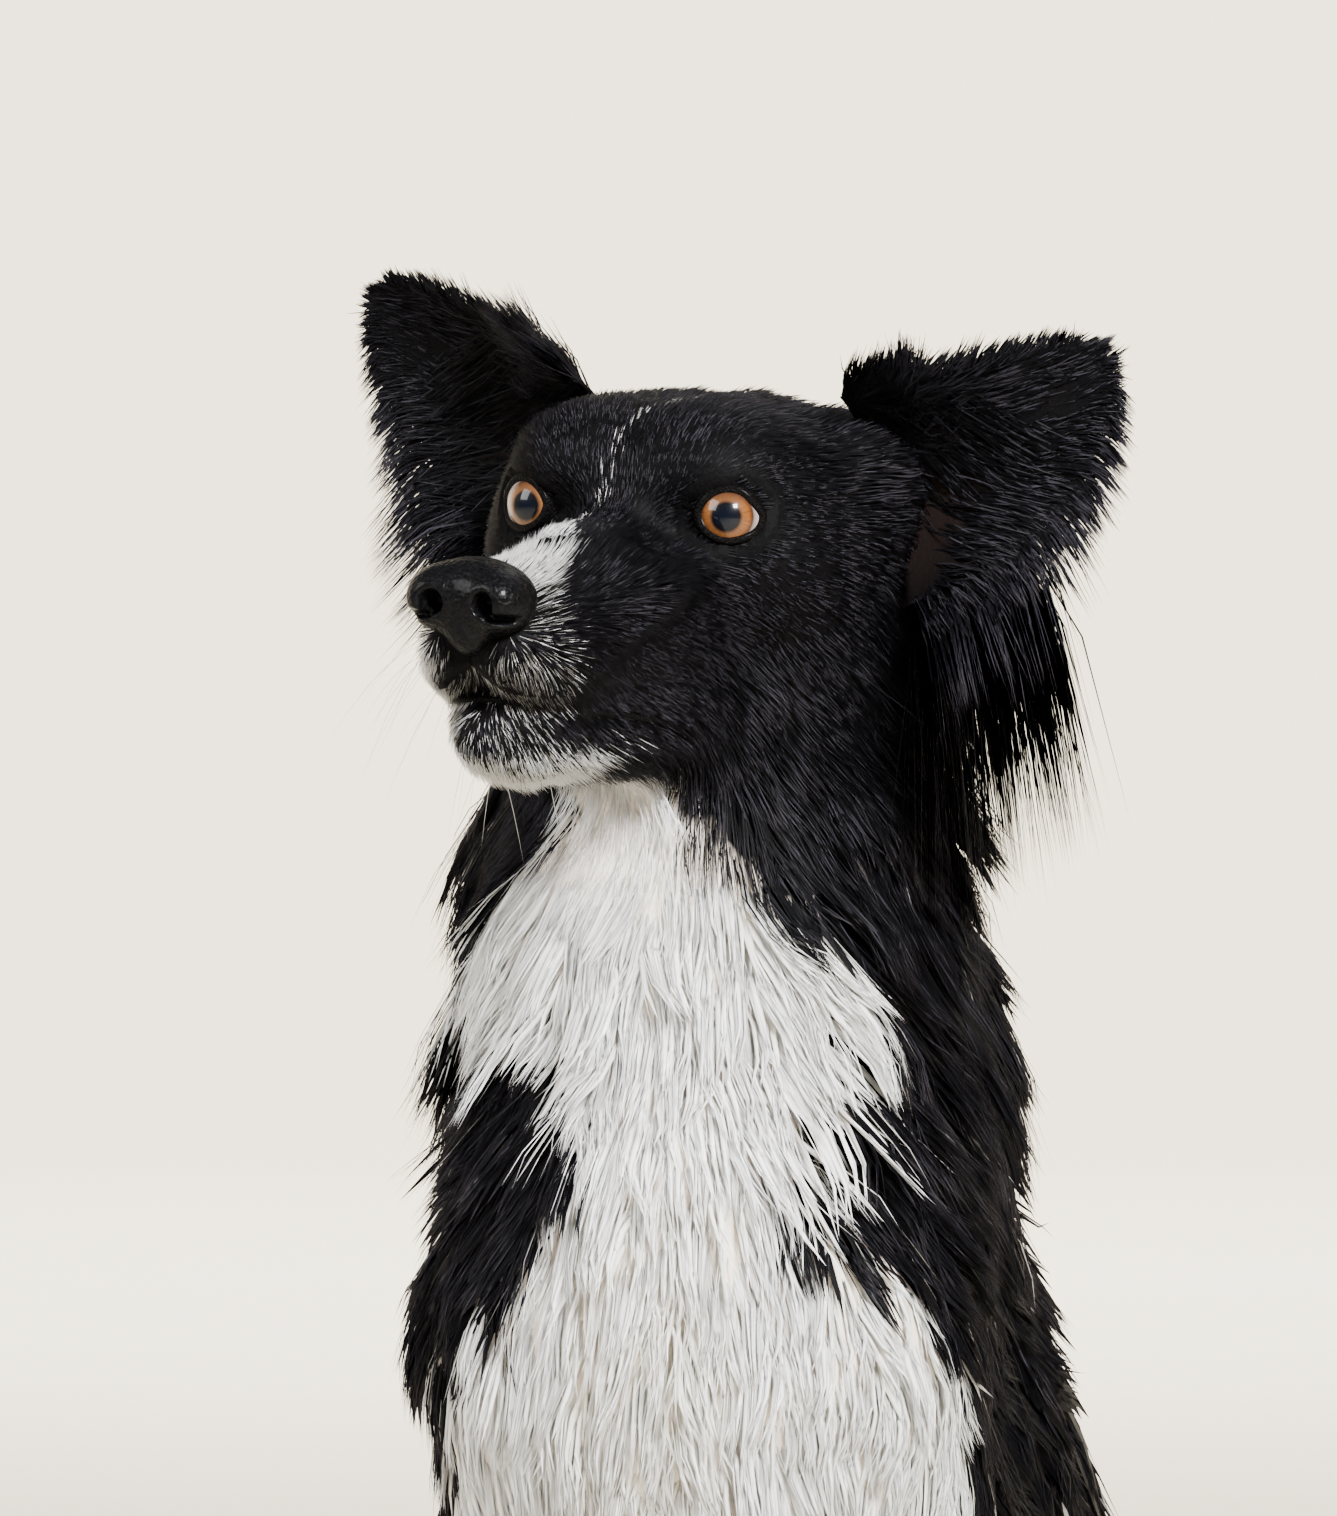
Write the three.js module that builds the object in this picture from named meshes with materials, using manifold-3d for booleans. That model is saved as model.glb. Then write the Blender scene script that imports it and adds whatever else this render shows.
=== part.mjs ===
// A sitting rough-coated Border Collie, life size, in millimetres, +Z up.
// It faces -Y, its left side is +X, and it looks up and to its right.
// The body is one smooth field of flesh round a few bones. Each sub-part is meshed from that field,
// parted from its neighbours by thin cuts, and dressed with tapered locks that follow the coat's lie.

import * as THREE from "three";
import { mergeVertices } from "three/addons/utils/BufferGeometryUtils.js";
import { SimplifyModifier } from "three/addons/modifiers/SimplifyModifier.js";
import Module from "manifold-3d";

const wasm = await Module();
wasm.setup();

const v = (x, y, z) => new THREE.Vector3(x, y, z);
const mix = THREE.MathUtils.lerp;
const rad = THREE.MathUtils.degToRad;

// ---------------------------------------------------------------- driving sizes

const GAP = 0.4; // between the zones of touching sub-parts
const GROW = 0.3; // how far a sub-part is grown before it is cut from its neighbour
const HAIR = 0.02; // vertices nearer than this are one
const SLIVER = 0.02; // a triangle of less area than this has no sure direction

// Landmarks of the left side; the right side mirrors them. Heights are above the floor.
const WITHERS = v(0, -28, 468);
const SHOULDER_POINT = v(36, -116, 366);
const ELBOW = v(47, -60, 268);
const CARPUS = v(50, -86, 98);
const KNUCKLE = v(52, -98, 40);
const HIP = v(46, 172, 112);
const KNEE = v(86, 52, 152);
const HOCK = v(80, 172, 16);
const BALL = v(86, 84, 14);
const TAIL_ROOT = v(0, 246, 68);
const NECK_BASE = v(0, -86, 418);
const NECK_TOP = v(-1, -88, 548);

// The head's own frame: x to the dog's right, y forward, z up, origin midway between the eyeballs.
const HEAD_AT = v(-7, -146, 592);
const HEAD_YAW = rad(11); // towards the dog's right
const HEAD_PITCH = rad(-2.2); // nose up
const HEAD_ROLL = rad(4); // right side up

const EYE_RADIUS = 11;
const EYE_AT = v(27.5, 0, 0); // in the head's frame, right eye
const EYE_OUT = rad(22); // how far each eye's opening turns out from straight ahead
const LID_THICKNESS = 1.8;
const NOSE_PLANE = 87; // the nose leather starts here, along the head's forward axis

const headTurn = new THREE.Matrix4()
  .makeRotationZ(-HEAD_YAW)
  .multiply(new THREE.Matrix4().makeRotationZ(Math.PI))
  .multiply(new THREE.Matrix4().makeRotationX(HEAD_PITCH))
  .multiply(new THREE.Matrix4().makeRotationY(-HEAD_ROLL));
const headPose = new THREE.Matrix4().makeTranslation(HEAD_AT).multiply(headTurn);
const headInverse = headPose.clone().invert();
const fromHead = (p) => p.clone().applyMatrix4(headPose);
const headDirection = (d) => d.clone().transformDirection(headPose);

// ---------------------------------------------------------------- the flesh field

// Smooth least of two distances, blended over k.
function blend(a, b, k) {
  const h = Math.max(k - Math.abs(a - b), 0) / k;
  return Math.min(a, b) - (h * h * k) / 4;
}

// A tapered limb from a to b with oval ends: r is the half depth and w the half width along `across`.
function limb(a, b, [ra, rb], { w = [ra, rb], across = v(1, 0, 0), coat = 0, k = 14 } = {}) {
  const ab = b.clone().sub(a);
  const length2 = ab.lengthSq();
  const q = new THREE.Vector3();
  const side = across.clone().normalize();
  return {
    k,
    at(p) {
      q.subVectors(p, a);
      const t = THREE.MathUtils.clamp(q.dot(ab) / length2, 0, 1);
      q.addScaledVector(ab, -t);
      const r = mix(ra, rb, t) + coat;
      const ratio = r / (mix(w[0], w[1], t) + coat);
      q.addScaledVector(side, q.dot(side) * (ratio - 1));
      return (q.length() - r) / Math.max(ratio, 1);
    },
  };
}

// An egg: an ellipsoid with half axes r, turned by the Euler angles `turn`.
function egg(c, r, { turn = [0, 0, 0], coat = 0, k = 14 } = {}) {
  const back = new THREE.Matrix4().makeRotationFromEuler(new THREE.Euler(...turn)).invert();
  const q = new THREE.Vector3();
  const [rx, ry, rz] = r.map((x) => x + coat);
  return {
    k,
    at(p) {
      q.subVectors(p, c).applyMatrix4(back);
      const k0 = Math.hypot(q.x / rx, q.y / ry, q.z / rz);
      const k1 = Math.hypot(q.x / rx ** 2, q.y / ry ** 2, q.z / rz ** 2);
      return k1 < 1e-9 ? -Math.min(rx, ry, rz) : (k0 * (k0 - 1)) / k1;
    },
  };
}

const mirror = (p) => v(-p.x, p.y, p.z);
const bothSides = (make) => [make((p) => p), make(mirror)];

const SIDES = { left: (p) => p.clone(), right: mirror };
const TOES = [-1.5, -0.5, 0.5, 1.5];
const TOE_SPACING = 12;
const TOE_HEIGHT = 9; // middle of a toe, which the floor flattens a little

// A paw's pads and toes: `from` is the last knuckle, and the toes point to -Y.
function toes(side, from, reach, height) {
  return TOES.map((n) => {
    const middle = Math.abs(n) < 1 ? 7 : 0;
    const root = from.clone().add(v(n * TOE_SPACING * 0.75, -4, -height * 0.35));
    const tip = from.clone().add(v(n * TOE_SPACING * 1.1, -reach - middle, TOE_HEIGHT - from.z));
    return limb(side(root), side(tip), [12, 10.5], { k: 5, coat: 1 });
  });
}

const torso = [
  limb(v(0, -72, 405), v(0, -56, 356), [80, 92], { w: [52, 58], coat: 10, k: 30 }),
  limb(v(0, -56, 356), v(0, -4, 298), [92, 96], { w: [58, 73], coat: 10, k: 30 }),
  limb(v(0, -4, 298), v(0, 62, 224), [96, 84], { w: [73, 80], coat: 10, k: 30 }),
  limb(v(0, 62, 224), v(0, 124, 158), [84, 66], { w: [80, 66], coat: 10, k: 30 }),
  limb(v(0, 124, 158), v(0, 178, 98), [66, 58], { w: [66, 64], coat: 9, k: 30 }),
  limb(v(0, 178, 98), v(0, 212, 54), [58, 48], { w: [64, 62], coat: 9, k: 30 }),
  limb(WITHERS.clone().add(v(0, 6, -26)), v(0, 40, 372), [30, 30], { coat: 8, k: 30 }),
  egg(v(0, -112, 362), [50, 48, 54], { coat: 10, k: 30 }), // breast bone
];

const neck = [
  limb(NECK_BASE, v(0, -90, 486), [66, 55], { w: [58, 52], coat: 16, k: 34 }),
  limb(v(0, -90, 486), NECK_TOP, [55, 46], { w: [52, 47], coat: 16, k: 26 }),
];

const foreleg = (side) => [
  limb(side(v(26, -38, 440)), side(SHOULDER_POINT), [28, 29], { coat: 5, k: 26 }), // shoulder blade
  limb(side(SHOULDER_POINT), side(ELBOW), [31, 26], { coat: 4, k: 22 }), // upper arm
  limb(side(ELBOW), side(ELBOW.clone().add(v(0, 20, 12))), [20, 14], { coat: 4, k: 14 }),
  limb(side(ELBOW), side(v(50, -74, 180)), [25, 20], { coat: 3, k: 16 }),
  limb(side(v(50, -74, 180)), side(CARPUS), [20, 15], { coat: 3, k: 12 }),
  limb(side(CARPUS), side(KNUCKLE), [15.5, 15], { coat: 2.5, k: 10 }),
  egg(side(v(KNUCKLE.x, KNUCKLE.y - 14, 14)), [20, 24, 16], { k: 8 }), // pad
  ...toes(side, KNUCKLE, 38, 24),
];

const hindleg = (side) => [
  egg(side(v(62, 132, 108)), [38, 84, 78], { coat: 6, k: 26 }), // haunch
  limb(side(HIP), side(KNEE), [50, 32], { coat: 5, k: 26 }),
  limb(side(KNEE), side(HOCK.clone().add(v(0, -6, 12))), [29, 14], { coat: 4, k: 16 }),
  limb(side(HOCK), side(BALL), [15, 14], { coat: 2.5, k: 12 }),
  ...toes(side, BALL, 50, 14),
];

// The tail's bones: it drops to the floor and sweeps round to the dog's left.
const TAIL = [
  [TAIL_ROOT, 24],
  [v(4, 286, 38), 20],
  [v(30, 330, 19), 18],
  [v(84, 362, 16), 16],
  [v(146, 366, 13), 12],
  [v(196, 350, 9), 7],
];
const tail = TAIL.slice(1).map(([end, r], i) =>
  limb(TAIL[i][0], end, [TAIL[i][1], r], { coat: 3, k: 10 }),
);

// Head shapes in the head's own frame. The cuts are hollows pressed into the sum of the others.
const skull = [
  egg(v(0, -46, 0), [48, 60, 33], { coat: 2, k: 12 }), // braincase
  ...bothSides((s) => egg(s(v(42, -48, 9)), [18, 20, 19], { coat: 1, k: 14 })), // roots of the ears
  ...bothSides((s) => egg(s(v(19, -14, 12)), [22, 26, 16], { coat: 1.5, k: 12 })), // brows
  ...bothSides((s) => egg(s(v(35, -34, -14)), [20, 38, 25], { coat: 3, k: 16 })), // cheekbones
  ...bothSides((s) => egg(s(v(31, -40, -40)), [18, 32, 26], { coat: 3, k: 16 })), // jaw muscle
  ...bothSides((s) => limb(s(v(24, -30, -56)), s(v(7, 64, -59)), [14, 9], { coat: 2, k: 12 })), // jaw
  limb(v(0, 2, -17), v(0, 84, -24), [17, 12.5], { w: [15, 13], coat: 1, k: 12 }), // bridge
  ...bothSides((s) => egg(s(v(15, 22, -28)), [16, 34, 20], { coat: 1.5, k: 14 })), // muzzle root
  ...bothSides((s) => egg(s(v(11, 64, -35)), [13.5, 33, 16], { coat: 1.5, k: 10 })), // upper lips
  egg(v(0, 68, -59), [13, 21, 10.5], { coat: 1.5, k: 8 }), // chin
  limb(v(0, -36, -38), v(0, 34, -50), [30, 15], { coat: 2, k: 18 }), // floor of the mouth
];
const hollows = [
  ...bothSides((s) => egg(s(v(19, 22, -3)), [6, 12, 6], { k: 10 })), // inner corner of the eye
  egg(v(0, -30, 39), [5, 34, 6], { k: 10 }), // furrow of the forehead
];

function fieldOf(shapes, cuts = []) {
  return (p) => {
    let d = shapes[0].at(p);
    for (const s of shapes.slice(1)) d = blend(d, s.at(p), s.k);
    for (const c of cuts) d = -blend(-d, c.at(p), c.k);
    return d;
  };
}

const skullField = fieldOf(skull, hollows);
const bodyField = fieldOf([
  ...torso,
  ...neck,
  ...foreleg(SIDES.left),
  ...foreleg(SIDES.right),
  ...hindleg(SIDES.left),
  ...hindleg(SIDES.right),
  ...tail,
]);
const inHead = new THREE.Vector3();
function flesh(p) {
  inHead.copy(p).applyMatrix4(headInverse);
  return blend(bodyField(p), skullField(inHead), 18);
}

// ---------------------------------------------------------------- meshes and solids

function solid(positions, triangles) {
  return new wasm.Manifold(
    new wasm.Mesh({
      numProp: 3,
      vertProperties: new Float32Array(positions),
      triVerts: new Uint32Array(triangles),
    }),
  );
}

function solidOf(geometry, matrix) {
  const bare = geometry.clone();
  for (const name of Object.keys(bare.attributes)) {
    if (name !== "position") bare.deleteAttribute(name);
  }
  if (matrix) bare.applyMatrix4(matrix);
  const merged = mergeVertices(bare, 1e-4);
  return solid(merged.attributes.position.array, merged.index.array);
}

// One vertex in each cell that the surface crosses, one quad round each edge that it crosses.
function surfaceNet(field, low, high, cell) {
  const size = high.clone().sub(low).divideScalar(cell).ceil();
  const [nx, ny, nz] = [size.x + 1, size.y + 1, size.z + 1];
  const step = [1, nx, nx * ny];
  const value = new Float32Array(nx * ny * nz);
  const p = new THREE.Vector3();
  for (let k = 0, n = 0; k < nz; k++)
    for (let j = 0; j < ny; j++)
      for (let i = 0; i < nx; i++, n++) {
        p.set(low.x + i * cell, low.y + j * cell, low.z + k * cell);
        const rim = !i || !j || !k || i === nx - 1 || j === ny - 1 || k === nz - 1;
        value[n] = rim ? Math.max(field(p), 0.1) : field(p);
      }
  const corners = [0, 1, 2, 3, 4, 5, 6, 7].map((c) => [c & 1, (c >> 1) & 1, c >> 2]);
  const vertexOf = new Map();
  const positions = [];
  for (let k = 0; k < nz - 1; k++)
    for (let j = 0; j < ny - 1; j++)
      for (let i = 0; i < nx - 1; i++) {
        const n = i + j * nx + k * nx * ny;
        const sum = [0, 0, 0];
        let crossings = 0;
        corners.forEach((a, ca) =>
          [1, 2, 4].forEach((bit, axis) => {
            if (ca & bit) return;
            const b = corners[ca | bit];
            const va = value[n + a[0] + a[1] * nx + a[2] * nx * ny];
            const vb = value[n + b[0] + b[1] * nx + b[2] * nx * ny];
            if (va < 0 === vb < 0) return;
            const t = va / (va - vb);
            [0, 1, 2].forEach((m) => (sum[m] += a[m] + (m === axis ? t : 0)));
            crossings++;
          }),
        );
        if (!crossings) continue;
        vertexOf.set(n, positions.length / 3);
        positions.push(
          low.x + (i + sum[0] / crossings) * cell,
          low.y + (j + sum[1] / crossings) * cell,
          low.z + (k + sum[2] / crossings) * cell,
        );
      }
  const triangles = [];
  for (let k = 0; k < nz - 1; k++)
    for (let j = 0; j < ny - 1; j++)
      for (let i = 0; i < nx - 1; i++) {
        const n = i + j * nx + k * nx * ny;
        for (let axis = 0; axis < 3; axis++) {
          const inside = value[n] < 0;
          if (inside === value[n + step[axis]] < 0) continue;
          const [u, w] = [step[(axis + 1) % 3], step[(axis + 2) % 3]];
          const ring = [n, n - u, n - u - w, n - w].map((m) => vertexOf.get(m));
          if (!inside) ring.reverse();
          triangles.push(ring[0], ring[1], ring[2], ring[0], ring[2], ring[3]);
        }
      }
  return [positions, triangles];
}

// The field inside a box as a solid, thinned to about `faces` triangles, where it is flattest.
async function meshField(field, low, high, cell, faces) {
  const [positions, triangles] = surfaceNet(field, low, high, cell);
  const geometry = new THREE.BufferGeometry()
    .setAttribute("position", new THREE.Float32BufferAttribute(positions, 3))
    .setIndex(triangles);
  const dropped = Math.max(0, Math.floor(positions.length / 3 - faces / 2));
  return solidOf(await new SimplifyModifier().modify(geometry, dropped));
}

const largest = (body) => body.decompose().sort((a, b) => b.volume() - a.volume())[0];

// Whether two sheets of a surface share an edge.
function pinched(triangles) {
  const edges = new Set();
  for (let i = 0; i < triangles.length; i += 3)
    for (let m = 0; m < 3; m++) edges.add(`${triangles[i + m]},${triangles[i + ((m + 1) % 3)]}`);
  return edges.size < triangles.length;
}

// Cuts leave vertices a hair apart: this merges them and drops the faces that collapse.
function welded(body) {
  const mesh = body.getMesh();
  const geometry = new THREE.BufferGeometry()
    .setAttribute("position", new THREE.Float32BufferAttribute(mesh.vertProperties, 3))
    .setIndex([...mesh.triVerts]);
  for (const hair of [HAIR, HAIR / 2, HAIR / 4, HAIR / 8]) {
    const merged = mergeVertices(geometry, hair);
    const triangles = [];
    for (let i = 0; i < merged.index.count; i += 3) {
      const [a, b, c] = [0, 1, 2].map((m) => merged.index.getX(i + m));
      if (a !== b && b !== c && c !== a) triangles.push(a, b, c);
    }
    if (!pinched(triangles)) return largest(solid(merged.attributes.position.array, triangles));
  }
  return largest(grown(body, -HAIR)); // sheets that share an edge are drawn apart
}

const union = (list) => wasm.Manifold.union(list);

// A block between two corners, grown by g on every side.
function block(low, high, g = 0, matrix = new THREE.Matrix4()) {
  const size = high.clone().sub(low).addScalar(2 * g);
  const middle = low.clone().add(high).multiplyScalar(0.5);
  const placed = matrix.clone().multiply(new THREE.Matrix4().makeTranslation(middle));
  return solidOf(new THREE.BoxGeometry(size.x, size.y, size.z), placed);
}

// Everything on the side of a plane that `normal` points to.
const FAR = 900;
function beyond(at, normal, g = 0) {
  const turn = new THREE.Quaternion().setFromUnitVectors(v(0, 0, 1), normal.clone().normalize());
  const matrix = new THREE.Matrix4().compose(at, turn, v(1, 1, 1));
  return block(v(-FAR, -FAR, -g), v(FAR, FAR, FAR), 0, matrix);
}

// A ball stretched to half axes r at c.
function ball(c, r, matrix = new THREE.Matrix4(), [round, high] = [20, 12]) {
  const placed = matrix.clone().multiply(new THREE.Matrix4().makeTranslation(c)).scale(v(...r));
  return solidOf(new THREE.SphereGeometry(1, round, high), placed);
}

// The same solid with each vertex moved so that every face round it moves out by `by`.
function grown(body, by) {
  const { vertProperties, triVerts } = body.getMesh();
  const corner = (i) => v(...vertProperties.subarray(3 * i, 3 * i + 3));
  const facing = Array.from({ length: vertProperties.length / 3 }, () => []);
  for (let t = 0; t < triVerts.length; t += 3) {
    const ring = triVerts.subarray(t, t + 3);
    const triangle = new THREE.Triangle(...[...ring].map(corner));
    if (triangle.getArea() < SLIVER) continue;
    const normal = triangle.getNormal(v(0, 0, 0));
    for (const i of ring) {
      if (!facing[i].some((n) => n.dot(normal) > 0.98)) facing[i].push(normal);
    }
  }
  const moved = facing.flatMap((normals, i) => {
    const out = normals.reduce((sum, n) => sum.add(n), v(0, 0, 0)).normalize();
    const share = Math.max(0.2, Math.min(1, ...normals.map((n) => n.dot(out))));
    return corner(i).addScaledVector(out, by / share).toArray();
  });
  return solid(moved, triVerts);
}

const touches = (a, b) => {
  const [p, q] = [a.boundingBox(), b.boundingBox()];
  return [0, 1, 2].every((m) => p.min[m] <= q.max[m] + 1 && q.min[m] <= p.max[m] + 1);
};

// ---------------------------------------------------------------- locks of the coat

THREE.MathUtils.seededRandom(11);
const vary = (share) => 1 + share * (2 * THREE.MathUtils.seededRandom() - 1);

// The point where a ray from inside leaves the flesh.
function surfaceFrom(inside, direction, field = flesh, reach = 170) {
  let [low, high] = [0, reach];
  for (let i = 0; i < 18; i++) {
    const middle = (low + high) / 2;
    if (field(inside.clone().addScaledVector(direction, middle)) < 0) low = middle;
    else high = middle;
  }
  return inside.clone().addScaledVector(direction, low);
}

function normalAt(p, field = flesh) {
  const e = 2;
  const slope = (d) => field(p.clone().add(d)) - field(p.clone().sub(d));
  return v(slope(v(e, 0, 0)), slope(v(0, e, 0)), slope(v(0, 0, e))).normalize();
}

// A flat lock with a ridge along its back: it leaves the skin at `lift`, lies along `flow`, sags by
// `fall` and tapers to a point. Each station is its share of the length and of the width.
// With `room` it is the space that the lock takes from its neighbours.
const LOCK_STATIONS = [
  [-0.1, 0.75],
  [0.34, 1],
  [0.7, 0.68],
];
const ROOT_SINK = 7;
function lock(spec, room = 0) {
  const { root, normal, flow, length, width, thick, lift } = spec;
  const { fall = 0, curl = 0, sink = ROOT_SINK } = spec;
  const lie = flow.clone().addScaledVector(normal, -flow.dot(normal)).normalize();
  const side = new THREE.Vector3().crossVectors(normal, lie).normalize();
  const at = (t) =>
    root
      .clone()
      .addScaledVector(lie, length * t)
      .addScaledVector(normal, length * lift * t * (1 - 0.45 * t) - (t < 0 ? sink : 0))
      .addScaledVector(side, length * curl * t * t)
      .add(v(0, 0, -fall * length * t * t));
  const points = LOCK_STATIONS.flatMap(([t, share]) => {
    const c = at(t < 0 ? t - (2 * room) / length : t);
    const half = side.clone().multiplyScalar((width * share) / 2 + 3 * room);
    const ridge = c.clone().addScaledVector(normal, thick * share + 2 * room);
    return [c.clone().add(half), ridge, c.clone().sub(half)].map((p) =>
      p.addScaledVector(normal, -room),
    );
  });
  points.push(at(1 + (2 * room) / length));
  const triangles = [0, 2, 1];
  for (let r = 0; r < LOCK_STATIONS.length - 1; r++)
    for (let i = 0; i < 3; i++) {
      const [a, b] = [3 * r + i, 3 * r + ((i + 1) % 3)];
      triangles.push(a, b, a + 3, b, b + 3, a + 3);
    }
  const last = points.length - 4;
  for (let i = 0; i < 3; i++) triangles.push(last + i, last + ((i + 1) % 3), last + 3);
  const positions = points.flatMap((p) => p.toArray());
  const made = solid(positions, triangles);
  return made.volume() > 0 ? made : turnedOut(positions, triangles);
}

function turnedOut(positions, triangles) {
  for (let i = 0; i < triangles.length; i += 3)
    [triangles[i + 1], triangles[i + 2]] = [triangles[i + 2], triangles[i + 1]];
  return solid(positions, triangles);
}

// Rows of locks round an axis from `from` to `to`. Angle 0 points along `front`, 90 to the dog's left.
// Length, and lift where it is a pair, run from the first row to the last.
function coat({ from, to, front, angles, rows, across, length, width, thick = 5, ...lie }) {
  const axis = to.clone().sub(from).normalize();
  const ahead = front.clone().addScaledVector(axis, -front.dot(axis)).normalize();
  const left = new THREE.Vector3().crossVectors(ahead, axis);
  const locks = [];
  for (let r = 0; r < rows; r++)
    for (let n = 0; n < across; n++) {
      const share = (n + (r % 2 ? 0.72 : 0.28)) / across;
      const angle = rad(mix(angles[0], angles[1], share) + (vary(1) - 1) * 5);
      const t = (r + 0.5) / rows + ((vary(1) - 1) * 0.18) / rows;
      const out = ahead.clone().multiplyScalar(Math.cos(angle)).addScaledVector(left, Math.sin(angle));
      const root = surfaceFrom(from.clone().lerp(to, t), out);
      const normal = normalAt(root);
      const flow = axis.clone().multiplyScalar(lie.along ?? 1);
      flow.addScaledVector(out, lie.spread ?? 0).add(lie.drift ?? v(0, 0, 0));
      const size = mix(length[0], length[1], t) * vary(0.16);
      const [high, low] = [lie.lift ?? 0.3].flat();
      locks.push({
        root,
        normal,
        flow,
        length: size,
        width: width * vary(0.15),
        thick,
        lift: mix(high, low ?? high, t) * vary(0.3),
        fall: lie.fall ?? 0,
        curl: (lie.curl ?? 0) * (vary(1) - 1),
      });
    }
  return locks;
}

// ---------------------------------------------------------------- ears

// An ear is a cupped leaf along a curve from its root to its tip, with its hollow facing `open`.
// The left one is carried lower.
const EARS = {
  right: {
    root: v(46, -47, 9),
    bend: v(83, -54, 30),
    tip: v(115, -60, 55),
    open: v(0.3, 0.95, -0.1),
  },
  left: {
    root: v(-50, -47, 6),
    bend: v(-84, -54, 18),
    tip: v(-105, -62, 47),
    open: v(-0.3, 0.95, -0.1),
  },
};
const EAR_HALF_WIDTH = 29;
const EAR_ROWS = 8;
const EAR_COLUMNS = 6;
const EAR_THICKNESS = 4;
const EAR_LOCKS = 5;

// A point on the ear: t runs from root to tip, s from the upper edge at -1 to the outer edge at 1.
function earPoint({ root, bend, tip, open }, t, s) {
  const spine = new THREE.QuadraticBezierCurve3(root, bend, tip);
  const along = spine.getTangent(t);
  const facing = open.clone().addScaledVector(along, -open.dot(along)).normalize();
  const side = new THREE.Vector3().crossVectors(along, facing).normalize();
  if (side.z > 0) side.negate();
  const half = EAR_HALF_WIDTH * Math.pow(1 - t, 0.62) * (1 + 0.3 * t) + 0.8;
  const cup = mix(1.2, 0.3, Math.min(1, t * 1.2));
  return spine
    .getPoint(t)
    .addScaledVector(side, (half * Math.sin(s * cup)) / Math.sin(cup))
    .addScaledVector(facing, (half * (1 - Math.cos(s * cup))) / Math.sin(cup) - 9 * (1 - t));
}

// Locks along the ear's outer edge, hanging down and out.
function earFringe(shape, count) {
  const out = Math.sign(shape.tip.x);
  return Array.from({ length: count }, (_, n) => {
    const t = mix(0.12, 0.78, n / (count - 1));
    const edge = earPoint(shape, t, 0.86);
    return {
      root: fromHead(edge),
      normal: headDirection(v(out * 0.2, 0.96, 0.1)),
      flow: headDirection(v(out * mix(0, 0.4, t), -0.1, -1)),
      length: mix(58, 16, t) * vary(0.15),
      width: mix(19, 13, t),
      thick: 4,
      lift: -0.06,
      sink: 2,
    };
  });
}

function ear(shape) {
  const grid = [];
  for (let i = 0; i <= EAR_ROWS; i++)
    for (let j = 0; j <= EAR_COLUMNS; j++)
      grid.push(earPoint(shape, i / EAR_ROWS, (2 * j) / EAR_COLUMNS - 1));
  const wide = EAR_COLUMNS + 1;
  const faces = [];
  for (let i = 0; i < EAR_ROWS; i++)
    for (let j = 0; j < EAR_COLUMNS; j++) {
      const a = i * wide + j;
      faces.push(a, a + 1, a + wide, a + 1, a + wide + 1, a + wide);
    }
  return shell(grid, faces, EAR_THICKNESS);
}

// A sheet of faces given a thickness, with its rim closed.
function shell(points, faces, thickness) {
  const sheet = new THREE.BufferGeometry().setFromPoints(points).setIndex(faces);
  sheet.computeVertexNormals();
  const normal = sheet.attributes.normal;
  const n = points.length;
  const positions = [];
  for (const half of [thickness / 2, -thickness / 2])
    points.forEach((p, i) =>
      positions.push(
        p.x + normal.getX(i) * half,
        p.y + normal.getY(i) * half,
        p.z + normal.getZ(i) * half,
      ),
    );
  const rim = new Map();
  const triangles = [...faces];
  for (let i = 0; i < faces.length; i += 3) {
    const [a, b, c] = faces.slice(i, i + 3);
    triangles.push(a + n, c + n, b + n);
    for (const [p, q] of [[a, b], [b, c], [c, a]]) {
      if (rim.has(`${q},${p}`)) rim.delete(`${q},${p}`);
      else rim.set(`${p},${q}`, [p, q]);
    }
  }
  for (const [p, q] of rim.values()) triangles.push(p, p + n, q, q, p + n, q + n);
  const made = solid(positions, triangles);
  return made.volume() > 0 ? made : turnedOut(positions, triangles);
}

// ---------------------------------------------------------------- head details

const noseShapes = [
  egg(v(0, 91, -23), [17, 11, 11], { k: 4 }),
  ...bothSides((s) => egg(s(v(9.8, 96, -23)), [7.6, 8, 7.8], { k: 4 })), // wings of the nostrils
  egg(v(0, 92, -34), [6, 7, 7], { k: 5 }),
];
const noseHollows = [
  ...bothSides((s) => egg(s(v(7.6, 105, -23.5)), [3.2, 8, 3.6], { k: 1.5 })), // nostrils
  ...bothSides((s) => egg(s(v(13.8, 101, -27)), [5, 5, 1.8], { k: 2 })), // slits below them
  egg(v(0, 106, -32), [1.6, 4, 13], { k: 2 }), // groove down to the lip
];
const noseField = fieldOf(noseShapes, noseHollows);

const headSolid = (body) => body.transform([...headPose.elements]);

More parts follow.
